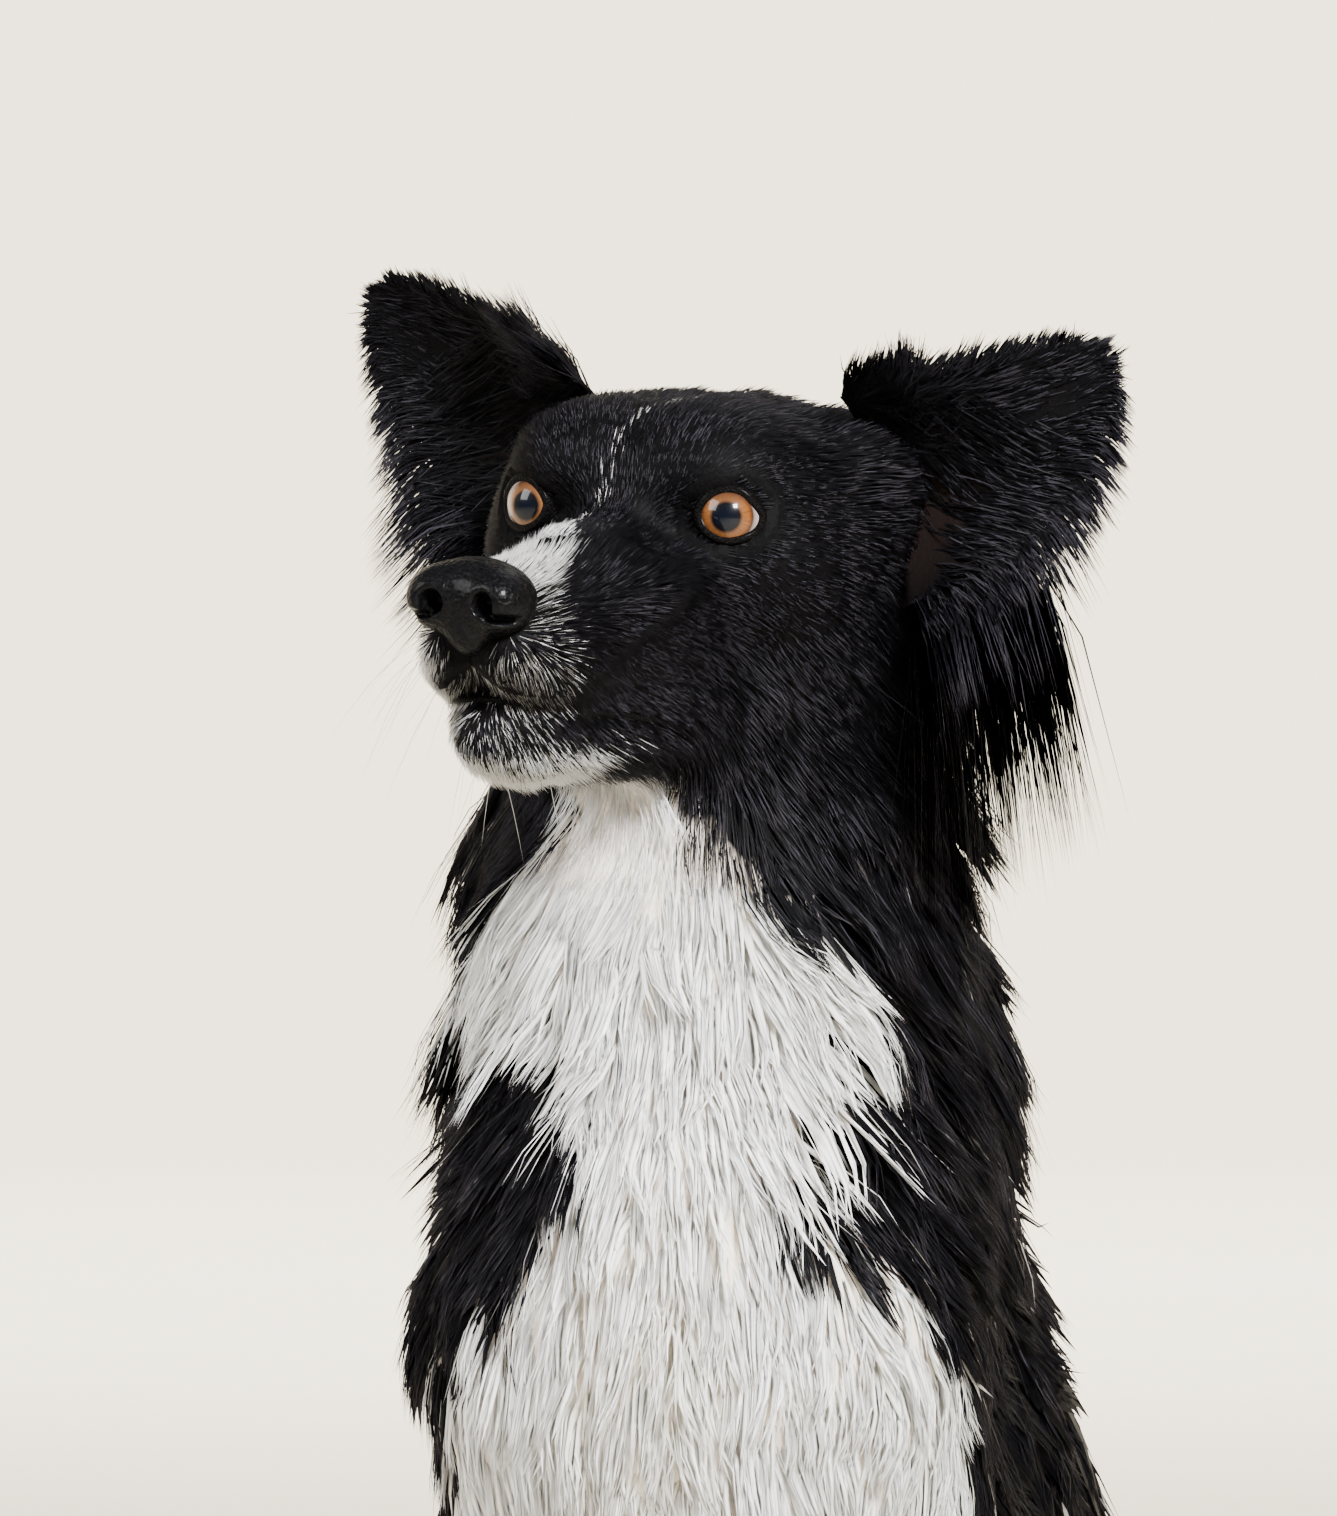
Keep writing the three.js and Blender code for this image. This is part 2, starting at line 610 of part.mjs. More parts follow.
// The line of the mouth: a thin groove round the muzzle, where the upper lip meets the jaw.
const MOUTH = [
  [0, 62, -49, 0],
  [0, 62, -49.5, 24],
  [0, 62, -50.5, 52],
  [0, 58, -51.5, 80],
  [0, 44, -53, 90],
  [0, 30, -55, 90],
  [0, 19, -59, 90],
];
function mouthGroove() {
  const half = (sign) =>
    MOUTH.map(([x, y, z, angle]) => {
      const out = v(sign * Math.sin(rad(angle)), Math.cos(rad(angle)), 0);
      return surfaceFrom(v(x, y, z), out, skullField, 70);
    });
  const line = [...half(-1).reverse().slice(0, -1), ...half(1)];
  const path = new THREE.CatmullRomCurve3(line);
  const section = new THREE.Shape([
    new THREE.Vector2(0, 2.2),
    new THREE.Vector2(1.1, 0),
    new THREE.Vector2(0, -2.2),
    new THREE.Vector2(-1.1, 0),
  ]);
  const options = { steps: 18, extrudePath: path, bevelEnabled: false };
  return solidOf(new THREE.ExtrudeGeometry(section, options));
}

// Each eye's lids: a shell over the eyeball, opened by an almond.
function eyeFrame(side) {
  const sign = side === "left" ? -1 : 1;
  return new THREE.Matrix4()
    .makeTranslation(v(sign * EYE_AT.x, EYE_AT.y, EYE_AT.z))
    .multiply(new THREE.Matrix4().makeRotationZ(-sign * EYE_OUT));
}
const eyeball = (side, r) => ball(v(0, 0, 0), [r, r, r], eyeFrame(side), [14, 8]);
const opening = (side) => ball(v(0, 11, 0), [12, 9, 7.6], eyeFrame(side), [14, 8]);

// ---------------------------------------------------------------- the sub-parts

const CUT_HEAD = { at: fromHead(v(0, -30, -72)), normal: headDirection(v(0, 0.674, 0.739)) };
const CUT_NECK = { at: v(0, -86, 430), normal: v(0, -0.5, 0.866) };
const CUT_CHEST = { at: v(0, 34, 256), normal: v(0, -0.578, 0.816) };
const CUT_RUMP = { at: v(0, 126, 154), normal: v(0, -0.578, 0.816) };
const CUT_TAIL = { at: v(0, 262, 60), normal: v(0, 1, 0) };
const CUT_SWEEP = { at: v(30, 330, 19), normal: v(0.7, 0.7, 0) };
const CUT_TIP = { at: v(128, 364, 14), normal: v(1, 0, 0) }; // where the tail turns white
const front = (cut, g = -GAP / 2) => beyond(cut.at, cut.normal, g);
const behind = (cut, g = -GAP / 2) => beyond(cut.at, cut.normal.clone().negate(), g);

const PAW_TOP = 44; // height of the cut above each forepaw
const FOREARM_TOP = 212; // and of the cut below each elbow
const HOCK_TOP = 60;
const ELBOW_TOP = 296;
const INSTEP = 72; // where a hind paw meets its hock, along Y
// The low and high corner of a left-side box, on either side.
function span(side, low, high) {
  const [a, b] = [SIDES[side](low), SIDES[side](high)];
  return [a.clone().min(b), a.clone().max(b)];
}
const sided = (side, low, high, g) => block(...span(side, low, high), g);
const zones = {
  foreleg: (side, g) =>
    union([
      sided(side, v(12, -230, -20), v(150, 2, 224), g),
      sided(side, v(38, -230, 200), v(150, 2, ELBOW_TOP), g),
    ]),
  hindfoot: (side, g) => sided(side, v(57, 2.6, -20), v(140, 196, HOCK_TOP), g),
  thigh: (side, g) => {
    const c = SIDES[side](v(86, 116, 112));
    return ball(c, [52 + g, 112 + g, 100 + g], undefined, [12, 8]);
  },
  bib: (g) =>
    union([
      block(v(-56, -290, 402), v(56, -126, 600), g),
      block(v(-37, -290, 226), v(37, -120, 420), g),
      block(v(-37, -290, 226), v(37, -62, 290), g),
      block(v(-11.5, -290, 190), v(11.5, -62, 240), g),
    ]),
};

// ---------------------------------------------------------------- the group

const skin = {
  head: await meshField(flesh, v(-130, -280, 500), v(110, 0, 660), 3, 1100),
  neck: await meshField(flesh, v(-110, -240, 214), v(110, 60, 620), 10, 520),
  trunk: await meshField(flesh, v(-125, -210, -12), v(125, 300, 520), 12, 860),
  tail: await meshField(flesh, v(-60, 230, -12), v(230, 400, 120), 8, 300),
};
const floor = beyond(v(0, 0, 0), v(0, 0, 1));
const pieces = [];
function add(name, material, core, locks = []) {
  pieces.push({ name, material, core: welded(core), locks });
}

// Where each sub-part's locks grow: an axis inside the body, the angles round it, and their size and lie.
const FRONT = v(0, -1, 0);
const flank = (angles) =>
  coat({
    from: v(0, -62, 452),
    to: v(0, -40, 316),
    front: FRONT,
    angles,
    rows: 2,
    across: 2,
    length: [66, 60],
    width: 44,
    thick: 6,
    lift: 0.1,
    curl: 0.5,
  });
const locks = {
  head: bothSides((s) =>
    coat({
      from: fromHead(s(v(22, -40, -2))),
      to: fromHead(s(v(22, -46, -50))),
      front: headDirection(s(v(1, 0, 0))),
      angles: [-16, 34],
      rows: 1,
      across: 2,
      length: [72, 72],
      width: 32,
      thick: 8,
      lift: 0.5,
      fall: 0.1,
      drift: v(0, 0.3, 0),
    }),
  ).flat(),
  neck: coat({
    from: fromHead(v(0, -52, -30)),
    to: NECK_BASE.clone().add(v(0, 14, 0)),
    front: FRONT,
    angles: [48, 312],
    rows: 3,
    across: 8,
    length: [68, 60],
    width: 46,
    thick: 8,
    lift: [0.5, 0.12],
    fall: 0.06,
    drift: v(0, 0.2, 0),
    curl: 0.4,
  }),
  bib: coat({
    from: v(-2, -96, 548),
    to: v(0, -62, 284),
    front: FRONT,
    angles: [-40, 40],
    rows: 6,
    across: 3,
    length: [58, 62],
    width: 34,
    thick: 9,
    lift: 0.26,
    curl: 0.4,
  }),
  chest: [
    ...flank([48, 132]),
    ...flank([-48, -132]),
    ...coat({
      from: v(0, -62, 470),
      to: v(0, 0, 300),
      front: FRONT,
      angles: [138, 222],
      rows: 2,
      across: 2,
      length: [78, 76],
      width: 46,
      thick: 8,
      lift: 0.22,
      curl: 0.4,
    }),
  ],
  barrel: [
    ...coat({
      from: v(0, 0, 292),
      to: v(0, 120, 162),
      front: v(0, -1, -1),
      angles: [62, 298],
      rows: 2,
      across: 6,
      length: [80, 76],
      width: 52,
      thick: 9,
      lift: 0.2,
      curl: 0.4,
    }),
    ...coat({
      from: v(0, -20, 270),
      to: v(0, 100, 150),
      front: v(0, -1, -1),
      angles: [-24, 24],
      rows: 2,
      across: 2,
      length: [54, 46],
      width: 30,
      thick: 7,
      drift: v(0, 0, -0.5),
    }),
  ],
  rump: coat({
    from: v(0, 130, 150),
    to: v(0, 196, 60),
    front: v(0, -1, -1),
    angles: [118, 242],
    rows: 2,
    across: 3,
    length: [66, 60],
    width: 50,
    thick: 8,
    lift: 0.22,
    curl: 0.4,
  }),
};
for (const [side, s] of Object.entries(SIDES)) {
  const out = Math.sign(s(v(1, 0, 0)).x);
  const feather = (high, low, rows, length) =>
    coat({
      from: s(high),
      to: s(low),
      front: v(0, 1, 0),
      angles: [-22, 22],
      rows,
      across: 1,
      length,
      width: 26,
      thick: 7,
      lift: 0.35,
    });
  locks[`elbow_${side}`] = feather(v(50, -52, 268), v(50, -62, 222), 2, [46, 44]);
  locks[`foreleg_${side}`] = feather(v(50, -66, 206), v(50, -76, 124), 3, [42, 28]);
  locks[`thigh_${side}`] = [
    ...coat({
      from: s(v(60, 150, 150)),
      to: s(v(72, 176, 40)),
      front: v(0, 1, 0),
      angles: [-10 * out, -70 * out],
      rows: 2,
      across: 2,
      length: [56, 46],
      width: 36,
      thick: 8,
      lift: 0.26,
    }),
    ...coat({
      from: s(v(60, 120, 150)),
      to: s(v(70, 110, 70)),
      front: s(v(1, 0, 0)),
      angles: [-30, 40],
      rows: 2,
      across: 2,
      length: [50, 44],
      width: 36,
      thick: 7,
      lift: 0.16,
      drift: v(0, 0.4, 0),
    }),
  ];
}
const plume = TAIL.slice(1).map(([end], i) =>
  coat({
    from: TAIL[i][0],
    to: end,
    front: v(0, 0, 1),
    angles: [-112, 112],
    rows: 1,
    across: 3,
    length: [84, 78],
    width: 36,
    thick: 9,
    lift: 0.42,
    fall: 0.08,
  }),
);

const nose = await meshField(noseField, v(-24, 70, -50), v(24, 112, -4), 1.25, 310);
const noseZone = (g) => block(v(-26, NOSE_PLANE - g, -40 - g), v(26, 130, 6), 0);
add("nose", "leather", headSolid(largest(nose.intersect(noseZone(-GAP)))));
for (const side of Object.keys(SIDES)) add(`eye_${side}`, "eye", headSolid(eyeball(side, EYE_RADIUS)));

const lids = Object.keys(SIDES).map((s) => headSolid(eyeball(s, EYE_RADIUS + GAP + LID_THICKNESS)));
const eyeCuts = Object.keys(SIDES).flatMap((s) => [eyeball(s, EYE_RADIUS + GAP), opening(s)]);
add(
  "head",
  "black",
  union([skin.head.intersect(front(CUT_HEAD)), ...lids]).subtract(
    headSolid(union([...eyeCuts, noseZone(0), mouthGroove()])),
  ),
  locks.head,
);
for (const side of Object.keys(SIDES)) {
  add(`ear_${side}`, "black", headSolid(ear(EARS[side])), earFringe(EARS[side], EAR_LOCKS));
}

const legZones = Object.keys(SIDES).flatMap((side) => [
  zones.foreleg(side, GAP / 2),
  zones.hindfoot(side, GAP / 2),
  zones.thigh(side, GAP / 2),
]);
const kept = behind(CUT_TAIL).intersect(floor).subtract(union(legZones));
const rest = (body) => body.intersect(kept).subtract(zones.bib(GAP / 2));
const throat = skin.neck.intersect(behind(CUT_HEAD));
const middleTrunk = skin.trunk.intersect(behind(CUT_CHEST)).intersect(front(CUT_RUMP));
add("bib", "white", throat.intersect(zones.bib(-GAP / 2)), locks.bib);
add("neck", "black", rest(throat.intersect(front(CUT_NECK))), locks.neck);
add("chest", "black", rest(skin.trunk.intersect(behind(CUT_NECK)).intersect(front(CUT_CHEST))), locks.chest);

const above = (h) => beyond(v(0, 0, h), v(0, 0, 1), -GAP / 2);
const below = (h) => beyond(v(0, 0, h), v(0, 0, -1), -GAP / 2);
const ahead = (y) => beyond(v(0, y, 0), v(0, -1, 0), -GAP / 2);
const rear = (y) => beyond(v(0, y, 0), v(0, 1, 0), -GAP / 2);
async function addLegs(side) {
  const own = (body, kind) => body.intersect(zones[kind](side, -GAP / 2)).intersect(floor);
  const mesh = (low, high, cell, faces) => meshField(flesh, ...span(side, low, high), cell, faces);
  const thigh = own(skin.trunk, "thigh").subtract(zones.hindfoot(side, GAP / 2));
  const foot = own(await mesh(v(40, -4, -12), v(144, 204, 72), 4.5, 340), "hindfoot");
  const leg = own(await mesh(v(-6, -190, 30), v(130, 20, 310), 7, 350), "foreleg");
  const paw = own(await mesh(v(-4, -170, -12), v(110, -40, 62), 3.5, 290), "foreleg");
  add(`thigh_${side}`, "black", thigh, locks[`thigh_${side}`]);
  add(`hock_${side}`, "white", foot.intersect(rear(INSTEP)));
  add(`hindpaw_${side}`, "white", foot.intersect(ahead(INSTEP)));
  add(`elbow_${side}`, "white", leg.intersect(above(FOREARM_TOP)), locks[`elbow_${side}`]);
  const forearm = leg.intersect(above(PAW_TOP)).intersect(below(FOREARM_TOP));
  add(`foreleg_${side}`, "white", forearm, locks[`foreleg_${side}`]);
  add(`forepaw_${side}`, "white", paw.intersect(below(PAW_TOP)));
}
for (const side of Object.keys(SIDES)) await addLegs(side);
add("barrel", "black", rest(middleTrunk), locks.barrel);
add("rump", "black", rest(skin.trunk.intersect(behind(CUT_RUMP))), locks.rump);

const tailSkin = skin.tail.intersect(front(CUT_TAIL)).intersect(floor);
add("tail_base", "black", tailSkin.intersect(behind(CUT_SWEEP)), plume.slice(0, 2).flat());
const sweep = tailSkin.intersect(front(CUT_SWEEP));
add("tail", "black", sweep.intersect(behind(CUT_TIP)), plume.slice(2, -1).flat());
add("tail_tip", "white", sweep.intersect(front(CUT_TIP)), plume.at(-1));

const FINISHES = {
  black: { color: 0x161618, roughness: 0.6 },
  white: { color: 0xe6e2da, roughness: 0.7 },
  leather: { color: 0x0d0d0e, roughness: 0.35 },
  eye: { color: 0x8a4a17, roughness: 0.05 },
};

// The head's parts hang in a group with the head's pose.
const HEAD_PARTS = ["nose", "eye_left", "eye_right", "head", "ear_left", "ear_right"];
const head = new THREE.Group();
headPose.decompose(head.position, head.quaternion, head.scale);
const sitting = new THREE.Group().add(head);
const taken = [];
for (const { name, material, core, locks: own } of pieces) {
  let body = own.length ? union([core, ...own.map((spec) => lock(spec))]).intersect(floor) : core;
  for (const space of taken) if (touches(space, body)) body = body.subtract(space);
  body = welded(body);
  taken.push(grown(core, GROW), ...own.map((spec) => lock(spec, GROW)));
  const mesh = body.getMesh();
  const geometry = new THREE.BufferGeometry()
    .setAttribute("position", new THREE.Float32BufferAttribute(mesh.vertProperties, 3))
    .setIndex([...mesh.triVerts]);
  const inside = HEAD_PARTS.includes(name);
  if (inside) geometry.applyMatrix4(headInverse);
  const piece = new THREE.Mesh(geometry, new THREE.MeshStandardMaterial(FINISHES[material]));
  piece.name = name;
  (inside ? head : sitting).add(piece);
}

// The part's origin is on the floor, in the middle of the dog's bounding box.
const bounds = new THREE.Box3().setFromObject(sitting, true);
const middle = bounds.getCenter(v(0, 0, 0));
sitting.position.set(-middle.x, -middle.y, 0);
const dog = new THREE.Group().add(sitting);
export default dog;
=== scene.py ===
"""The looks of a sitting rough-coated Border Collie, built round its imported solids.

The flesh is one smooth field round a few bones, as in the solids but without their coat. One skin is
meshed from it, and the coat is combed over that skin along named guides. Lengths are in millimetres in
the dog's own frame (x to its left, y backwards, z up), and turn into metres when a mesh is made.
"""

import math

import bmesh
import bpy
import numpy as np
from mathutils import Matrix, Vector


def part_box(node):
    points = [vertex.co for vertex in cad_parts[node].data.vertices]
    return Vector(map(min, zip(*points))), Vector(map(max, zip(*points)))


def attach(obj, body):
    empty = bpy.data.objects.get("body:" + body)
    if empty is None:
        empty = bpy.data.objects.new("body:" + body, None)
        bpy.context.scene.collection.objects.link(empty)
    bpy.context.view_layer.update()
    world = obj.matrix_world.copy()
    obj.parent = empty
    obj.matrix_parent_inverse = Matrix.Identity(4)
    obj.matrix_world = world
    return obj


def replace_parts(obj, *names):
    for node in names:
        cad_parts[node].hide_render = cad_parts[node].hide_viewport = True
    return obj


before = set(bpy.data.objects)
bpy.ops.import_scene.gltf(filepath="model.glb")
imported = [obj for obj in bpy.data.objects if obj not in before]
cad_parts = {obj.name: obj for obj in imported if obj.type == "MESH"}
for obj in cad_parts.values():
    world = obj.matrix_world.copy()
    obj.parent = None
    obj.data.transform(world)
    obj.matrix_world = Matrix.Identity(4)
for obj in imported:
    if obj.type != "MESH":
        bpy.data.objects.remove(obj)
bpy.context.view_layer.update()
MM = 0.001

# ---------------------------------------------------------------- landmarks, as in the solids

WITHERS = (0, -28, 468)
SHOULDER_POINT = (36, -116, 366)
ELBOW = (47, -60, 268)
FOREARM = (50, -74, 180)
CARPUS = (50, -86, 98)
KNUCKLE = (52, -98, 40)
HIP = (46, 172, 112)
KNEE = (86, 52, 152)
HOCK = (80, 172, 16)
BALL = (86, 84, 14)
NECK_BASE = (0, -86, 418)
NECK_MIDDLE = (0, -90, 486)
NECK_TOP = (-1, -88, 548)
TAIL = [
    ((0, 246, 68), 24),
    ((4, 286, 38), 20),
    ((30, 330, 19), 18),
    ((84, 362, 16), 16),
    ((146, 366, 13), 12),
    ((196, 350, 9), 7),
]

# The head's own frame: x to the dog's right, y forward, z up, origin midway between the eyeballs.
HEAD_AT = (-7, -146, 592)
HEAD_YAW = math.radians(11)
HEAD_PITCH = math.radians(-2.2)
HEAD_ROLL = math.radians(4)
EYE_RADIUS = 11
EYE_AT = 27.5
EYE_OUT = math.radians(22)


def norm(a):
    return np.linalg.norm(a, axis=-1)


def unit(a):
    return a / np.maximum(norm(a)[..., None], 1e-9)


def lerp(a, b, t):
    return a + (b - a) * t


def ease(x, low, high):
    t = np.clip((x - low) / (high - low), 0, 1)
    return t * t * (3 - 2 * t)


HEAD_TURN = np.array(
    Matrix.Rotation(-HEAD_YAW, 3, "Z")
    @ Matrix.Rotation(math.pi, 3, "Z")
    @ Matrix.Rotation(HEAD_PITCH, 3, "X")
    @ Matrix.Rotation(-HEAD_ROLL, 3, "Y")
)


def from_head(points):
    return np.asarray(points, float) @ HEAD_TURN.T + HEAD_AT


def to_head(points):
    return (np.asarray(points, float) - HEAD_AT) @ HEAD_TURN


def head_direction(directions):
    return np.asarray(directions, float) @ HEAD_TURN.T


# The part's origin is under the middle of its box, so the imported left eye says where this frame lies.
eye_low, eye_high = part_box("eye_left")
ORIGIN = np.array((eye_low + eye_high) / 2) / MM - from_head((-EYE_AT, 0, 0))


def placed(points):
    return (np.asarray(points, float) + ORIGIN) * MM


# ---------------------------------------------------------------- the flesh field

FAR = 500.0
MARGIN = 40.0  # a shape is evaluated up to this far outside itself


def blend(a, b, k):
    h = np.maximum(k - np.abs(a - b), 0) / k
    return np.minimum(a, b) - h * h * k / 4


class Limb:
    """A tapered limb with oval ends: r is its half depth at each end and w its half width along x."""

    def __init__(self, a, b, r, w=None, k=14):
        self.a, self.b = np.array(a, float), np.array(b, float)
        self.r, self.w, self.k = r, w or r, k
        size = max(*self.r, *self.w) + MARGIN
        self.low = np.minimum(self.a, self.b) - size
        self.high = np.maximum(self.a, self.b) + size

    def at(self, p):
        axis = self.b - self.a
        q = p - self.a
        t = np.clip(q @ axis / (axis @ axis), 0, 1)
        q = q - t[:, None] * axis
        r = lerp(*self.r, t)
        ratio = r / lerp(*self.w, t)
        q[:, 0] += q[:, 0] * (ratio - 1)
        return (norm(q) - r) / np.maximum(ratio, 1)


class Egg:
    """An ellipsoid with half axes r."""

    def __init__(self, c, r, k=14):
        self.c, self.r, self.k = np.array(c, float), np.array(r, float), k
        self.low = self.c - self.r - MARGIN
        self.high = self.c + self.r + MARGIN

    def at(self, p):
        q = p - self.c
        k0 = norm(q / self.r)
        k1 = norm(q / self.r**2)
        return np.where(k1 < 1e-9, -self.r.min(), k0 * (k0 - 1) / np.maximum(k1, 1e-9))


def mirrored(p):
    return (-p[0], *p[1:])


def moved(p, dx, dy, dz):
    return (p[0] + dx, p[1] + dy, p[2] + dz)


SIDES = {"left": tuple, "right": mirrored}
TOES = (-1.5, -0.5, 0.5, 1.5)
TOE_SPACING = 12
TOE_HEIGHT = 9


def toe_ends(start, reach, height):
    """The root and tip of each toe of a left paw."""
    for n in TOES:
        middle = 7 if abs(n) < 1 else 0
        root = moved(start, n * TOE_SPACING * 0.75, -4, -height * 0.35)
        tip = moved(start, n * TOE_SPACING * 1.1, -reach - middle, TOE_HEIGHT - start[2])
        yield root, tip


PAWS = {"fore": (KNUCKLE, 38, 24), "hind": (BALL, 50, 14)}


def toes(side, paw):
    return [Limb(side(a), side(b), (12, 10.5), k=5) for a, b in toe_ends(*PAWS[paw])]


def chain(rows, k):
    """Limbs from row to row, each a point and its half depth and half width."""
    return [Limb(a, b, *zip(ra, rb), k=k) for (a, *ra), (b, *rb) in zip(rows, rows[1:])]


TRUNK = [
    ((0, -72, 405), 80, 52),
    ((0, -56, 356), 92, 58),
    ((0, -4, 298), 96, 73),
    ((0, 62, 224), 84, 80),
    ((0, 124, 158), 66, 66),
    ((0, 178, 98), 58, 64),
    ((0, 212, 54), 48, 62),
]


def torso():
    return [
        *chain(TRUNK, k=30),
        Limb(moved(WITHERS, 0, 6, -26), (0, 40, 372), (30, 30), k=30),
        Egg((0, -112, 362), (50, 48, 54), k=30),
        Limb(NECK_BASE, NECK_MIDDLE, (66, 55), (58, 52), k=34),
        Limb(NECK_MIDDLE, NECK_TOP, (55, 46), (52, 47), k=26),
    ]


def foreleg(side):
    return [
        Limb(side((26, -38, 440)), side(SHOULDER_POINT), (28, 29), k=26),
        Limb(side(SHOULDER_POINT), side(ELBOW), (31, 26), k=22),
        Limb(side(ELBOW), side(moved(ELBOW, 0, 20, 12)), (20, 14), k=14),
        Limb(side(ELBOW), side(FOREARM), (25, 20), k=16),
        Limb(side(FOREARM), side(CARPUS), (20, 15), k=12),
        Limb(side(CARPUS), side(KNUCKLE), (15.5, 15), k=10),
        Egg(side((KNUCKLE[0], KNUCKLE[1] - 14, 14)), (20, 24, 16), k=8),
        *toes(side, "fore"),
    ]


def hindleg(side):
    return [
        Egg(side((62, 132, 108)), (38, 84, 78), k=26),
        Limb(side(HIP), side(KNEE), (50, 32), k=26),
        Limb(side(KNEE), side(moved(HOCK, 0, -6, 12)), (29, 14), k=16),
        Limb(side(HOCK), side(BALL), (15, 14), k=12),
        *toes(side, "hind"),
    ]


def pair(shape, c, *sizes, **more):
    return [shape(c, *sizes, **more), shape(mirrored(c), *sizes, **more)]


def skull():
    """Head shapes in the head's frame."""
    jaw = [
        Limb(side((24, -30, -56)), side((7, 64, -59)), (14, 9), k=12) for side in SIDES.values()
    ]
    return [
        Egg((0, -46, 0), (48, 60, 33), k=12),
        *pair(Egg, (42, -48, 9), (18, 20, 19)),
        *pair(Egg, (19, -14, 12), (22, 26, 16), k=12),
        *pair(Egg, (35, -34, -14), (20, 38, 25), k=16),
        *pair(Egg, (31, -40, -40), (18, 32, 26), k=16),
        *jaw,
        Limb((0, 2, -17), (0, 84, -24), (17, 12.5), (15, 13), k=12),
        *pair(Egg, (15, 22, -28), (16, 34, 20)),
        *pair(Egg, (11, 64, -35), (13.5, 33, 16), k=10),
        Egg((0, 68, -59), (13, 21, 10.5), k=8),
        Limb((0, -36, -38), (0, 34, -50), (30, 15), k=18),
    ]


BODY = torso()
for leg in (foreleg, hindleg):
    for mirror in SIDES.values():
        BODY += leg(mirror)
BODY += chain(TAIL, k=10)
SKULL = skull()
HOLLOWS = [*pair(Egg, (19, 22, -3), (6, 12, 6), k=10), Egg((0, -30, 39), (5, 34, 6), k=10)]


def joined(shapes, p, cuts=()):
    d = np.full(len(p), FAR)
    for shape in shapes:
        near = np.all((p > shape.low) & (p < shape.high), axis=1)
        d[near] = blend(d[near], shape.at(p[near]), shape.k)
    for cut in cuts:
        near = np.all((p > cut.low) & (p < cut.high), axis=1)
        d[near] = -blend(-d[near], cut.at(p[near]), cut.k)
    return d


HEAD_REACH = 190  # the head's shapes lie within this distance of its origin
FLOOR_CLEAR = 0.3


def flesh(p):
    """Signed distance to the flesh, roughly, in millimetres."""
    d = joined(BODY, p)
    near = norm(p - HEAD_AT) < HEAD_REACH
    d[near] = blend(d[near], joined(SKULL, to_head(p[near]), HOLLOWS), 18)
    return np.maximum(d, FLOOR_CLEAR - p[:, 2])


def slope(field, p, e=1.2):
    """The field and its unit gradient."""
    d = field(p)
    steps = [field(p + step) - d for step in np.eye(3) * e]
    return d, unit(np.stack(steps, axis=1))


# ---------------------------------------------------------------- meshes


def surface_net(field, low, high, cell):
    """Quads of the surface where the field is zero: a vertex in each cell that it crosses."""
    n = np.ceil((np.array(high) - low) / cell).astype(int) + 1
    axes = [low[i] + cell * np.arange(n[i]) for i in range(3)]
    value = np.empty(n)
    for i, x in enumerate(axes[0]):
        y, z = np.meshgrid(axes[1], axes[2], indexing="ij")
        p = np.stack([np.full(y.size, x), y.ravel(), z.ravel()], axis=1)
        value[i] = field(p).reshape(y.shape)
    cells = n - 1
    flat = lambda index: (index[:, 0] * cells[1] + index[:, 1]) * cells[2] + index[:, 2]
    total = np.zeros((cells.prod(), 3))
    count = np.zeros(cells.prod())
    quads = []
    for axis in range(3):
        u, w = np.eye(3, dtype=int)[(axis + 1) % 3], np.eye(3, dtype=int)[(axis + 2) % 3]
        first = np.take(value, range(n[axis] - 1), axis)
        second = np.take(value, range(1, n[axis]), axis)
        edges = np.argwhere((first < 0) != (second < 0))
        a, b = first[tuple(edges.T)], second[tuple(edges.T)]
        crossing = edges + np.outer(a / (a - b), np.eye(3)[axis])
        inner = np.all((edges > 0) & (edges < cells), axis=1)
        for du in (0, 1):
            for dw in (0, 1):
                owner = edges - du * u - dw * w
                fits = np.all((owner >= 0) & (owner < cells), axis=1)
                where = flat(owner[fits])
                for m in range(3):
                    total[:, m] += np.bincount(where, crossing[fits, m], len(total))
                count += np.bincount(where, minlength=len(count))
        ring = [flat(edges - du * u - dw * w) for du, dw in ((0, 0), (1, 0), (1, 1), (0, 1))]
        ring = np.stack(ring, axis=1)[inner]
        ring[a[inner] > 0] = ring[a[inner] > 0][:, ::-1]
        quads.append(ring)
    used = np.flatnonzero(count)
    number = np.full(len(count), -1)
    number[used] = np.arange(len(used))
    points = low + cell * total[used] / count[used, None]
    return points, number[np.concatenate(quads)]


def ring_quads(rows, around):
    """Quads between neighbouring closed rings of points."""
    index = np.arange(rows * around).reshape(rows, around)
    after = np.roll(index, -1, axis=1)
    return np.stack([index[:-1], index[1:], after[1:], after[:-1]], axis=2).reshape(-1, 4)


def new_object(name, mesh, material):
    made = bpy.data.objects.new(name, mesh)
    bpy.context.scene.collection.objects.link(made)
    mesh.materials.append(material)
    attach(made, "root")
    return made


def mesh_of(name, points, faces):
    """A smooth mesh from points in millimetres and an array of triangles or quads."""
    mesh = bpy.data.meshes.new(name)
    faces = np.asarray(faces)
    corners = faces.shape[1]
    mesh.vertices.add(len(points))
    mesh.vertices.foreach_set("co", placed(points).astype(np.float32).ravel())
    mesh.loops.add(faces.size)
    mesh.loops.foreach_set("vertex_index", faces.astype(np.int32).ravel())
    mesh.polygons.add(len(faces))
    mesh.polygons.foreach_set("loop_start", np.arange(0, faces.size, corners, dtype=np.int32))
    mesh.polygons.foreach_set("use_smooth", np.ones(len(faces), bool))
    mesh.update(calc_edges=True)
    return mesh


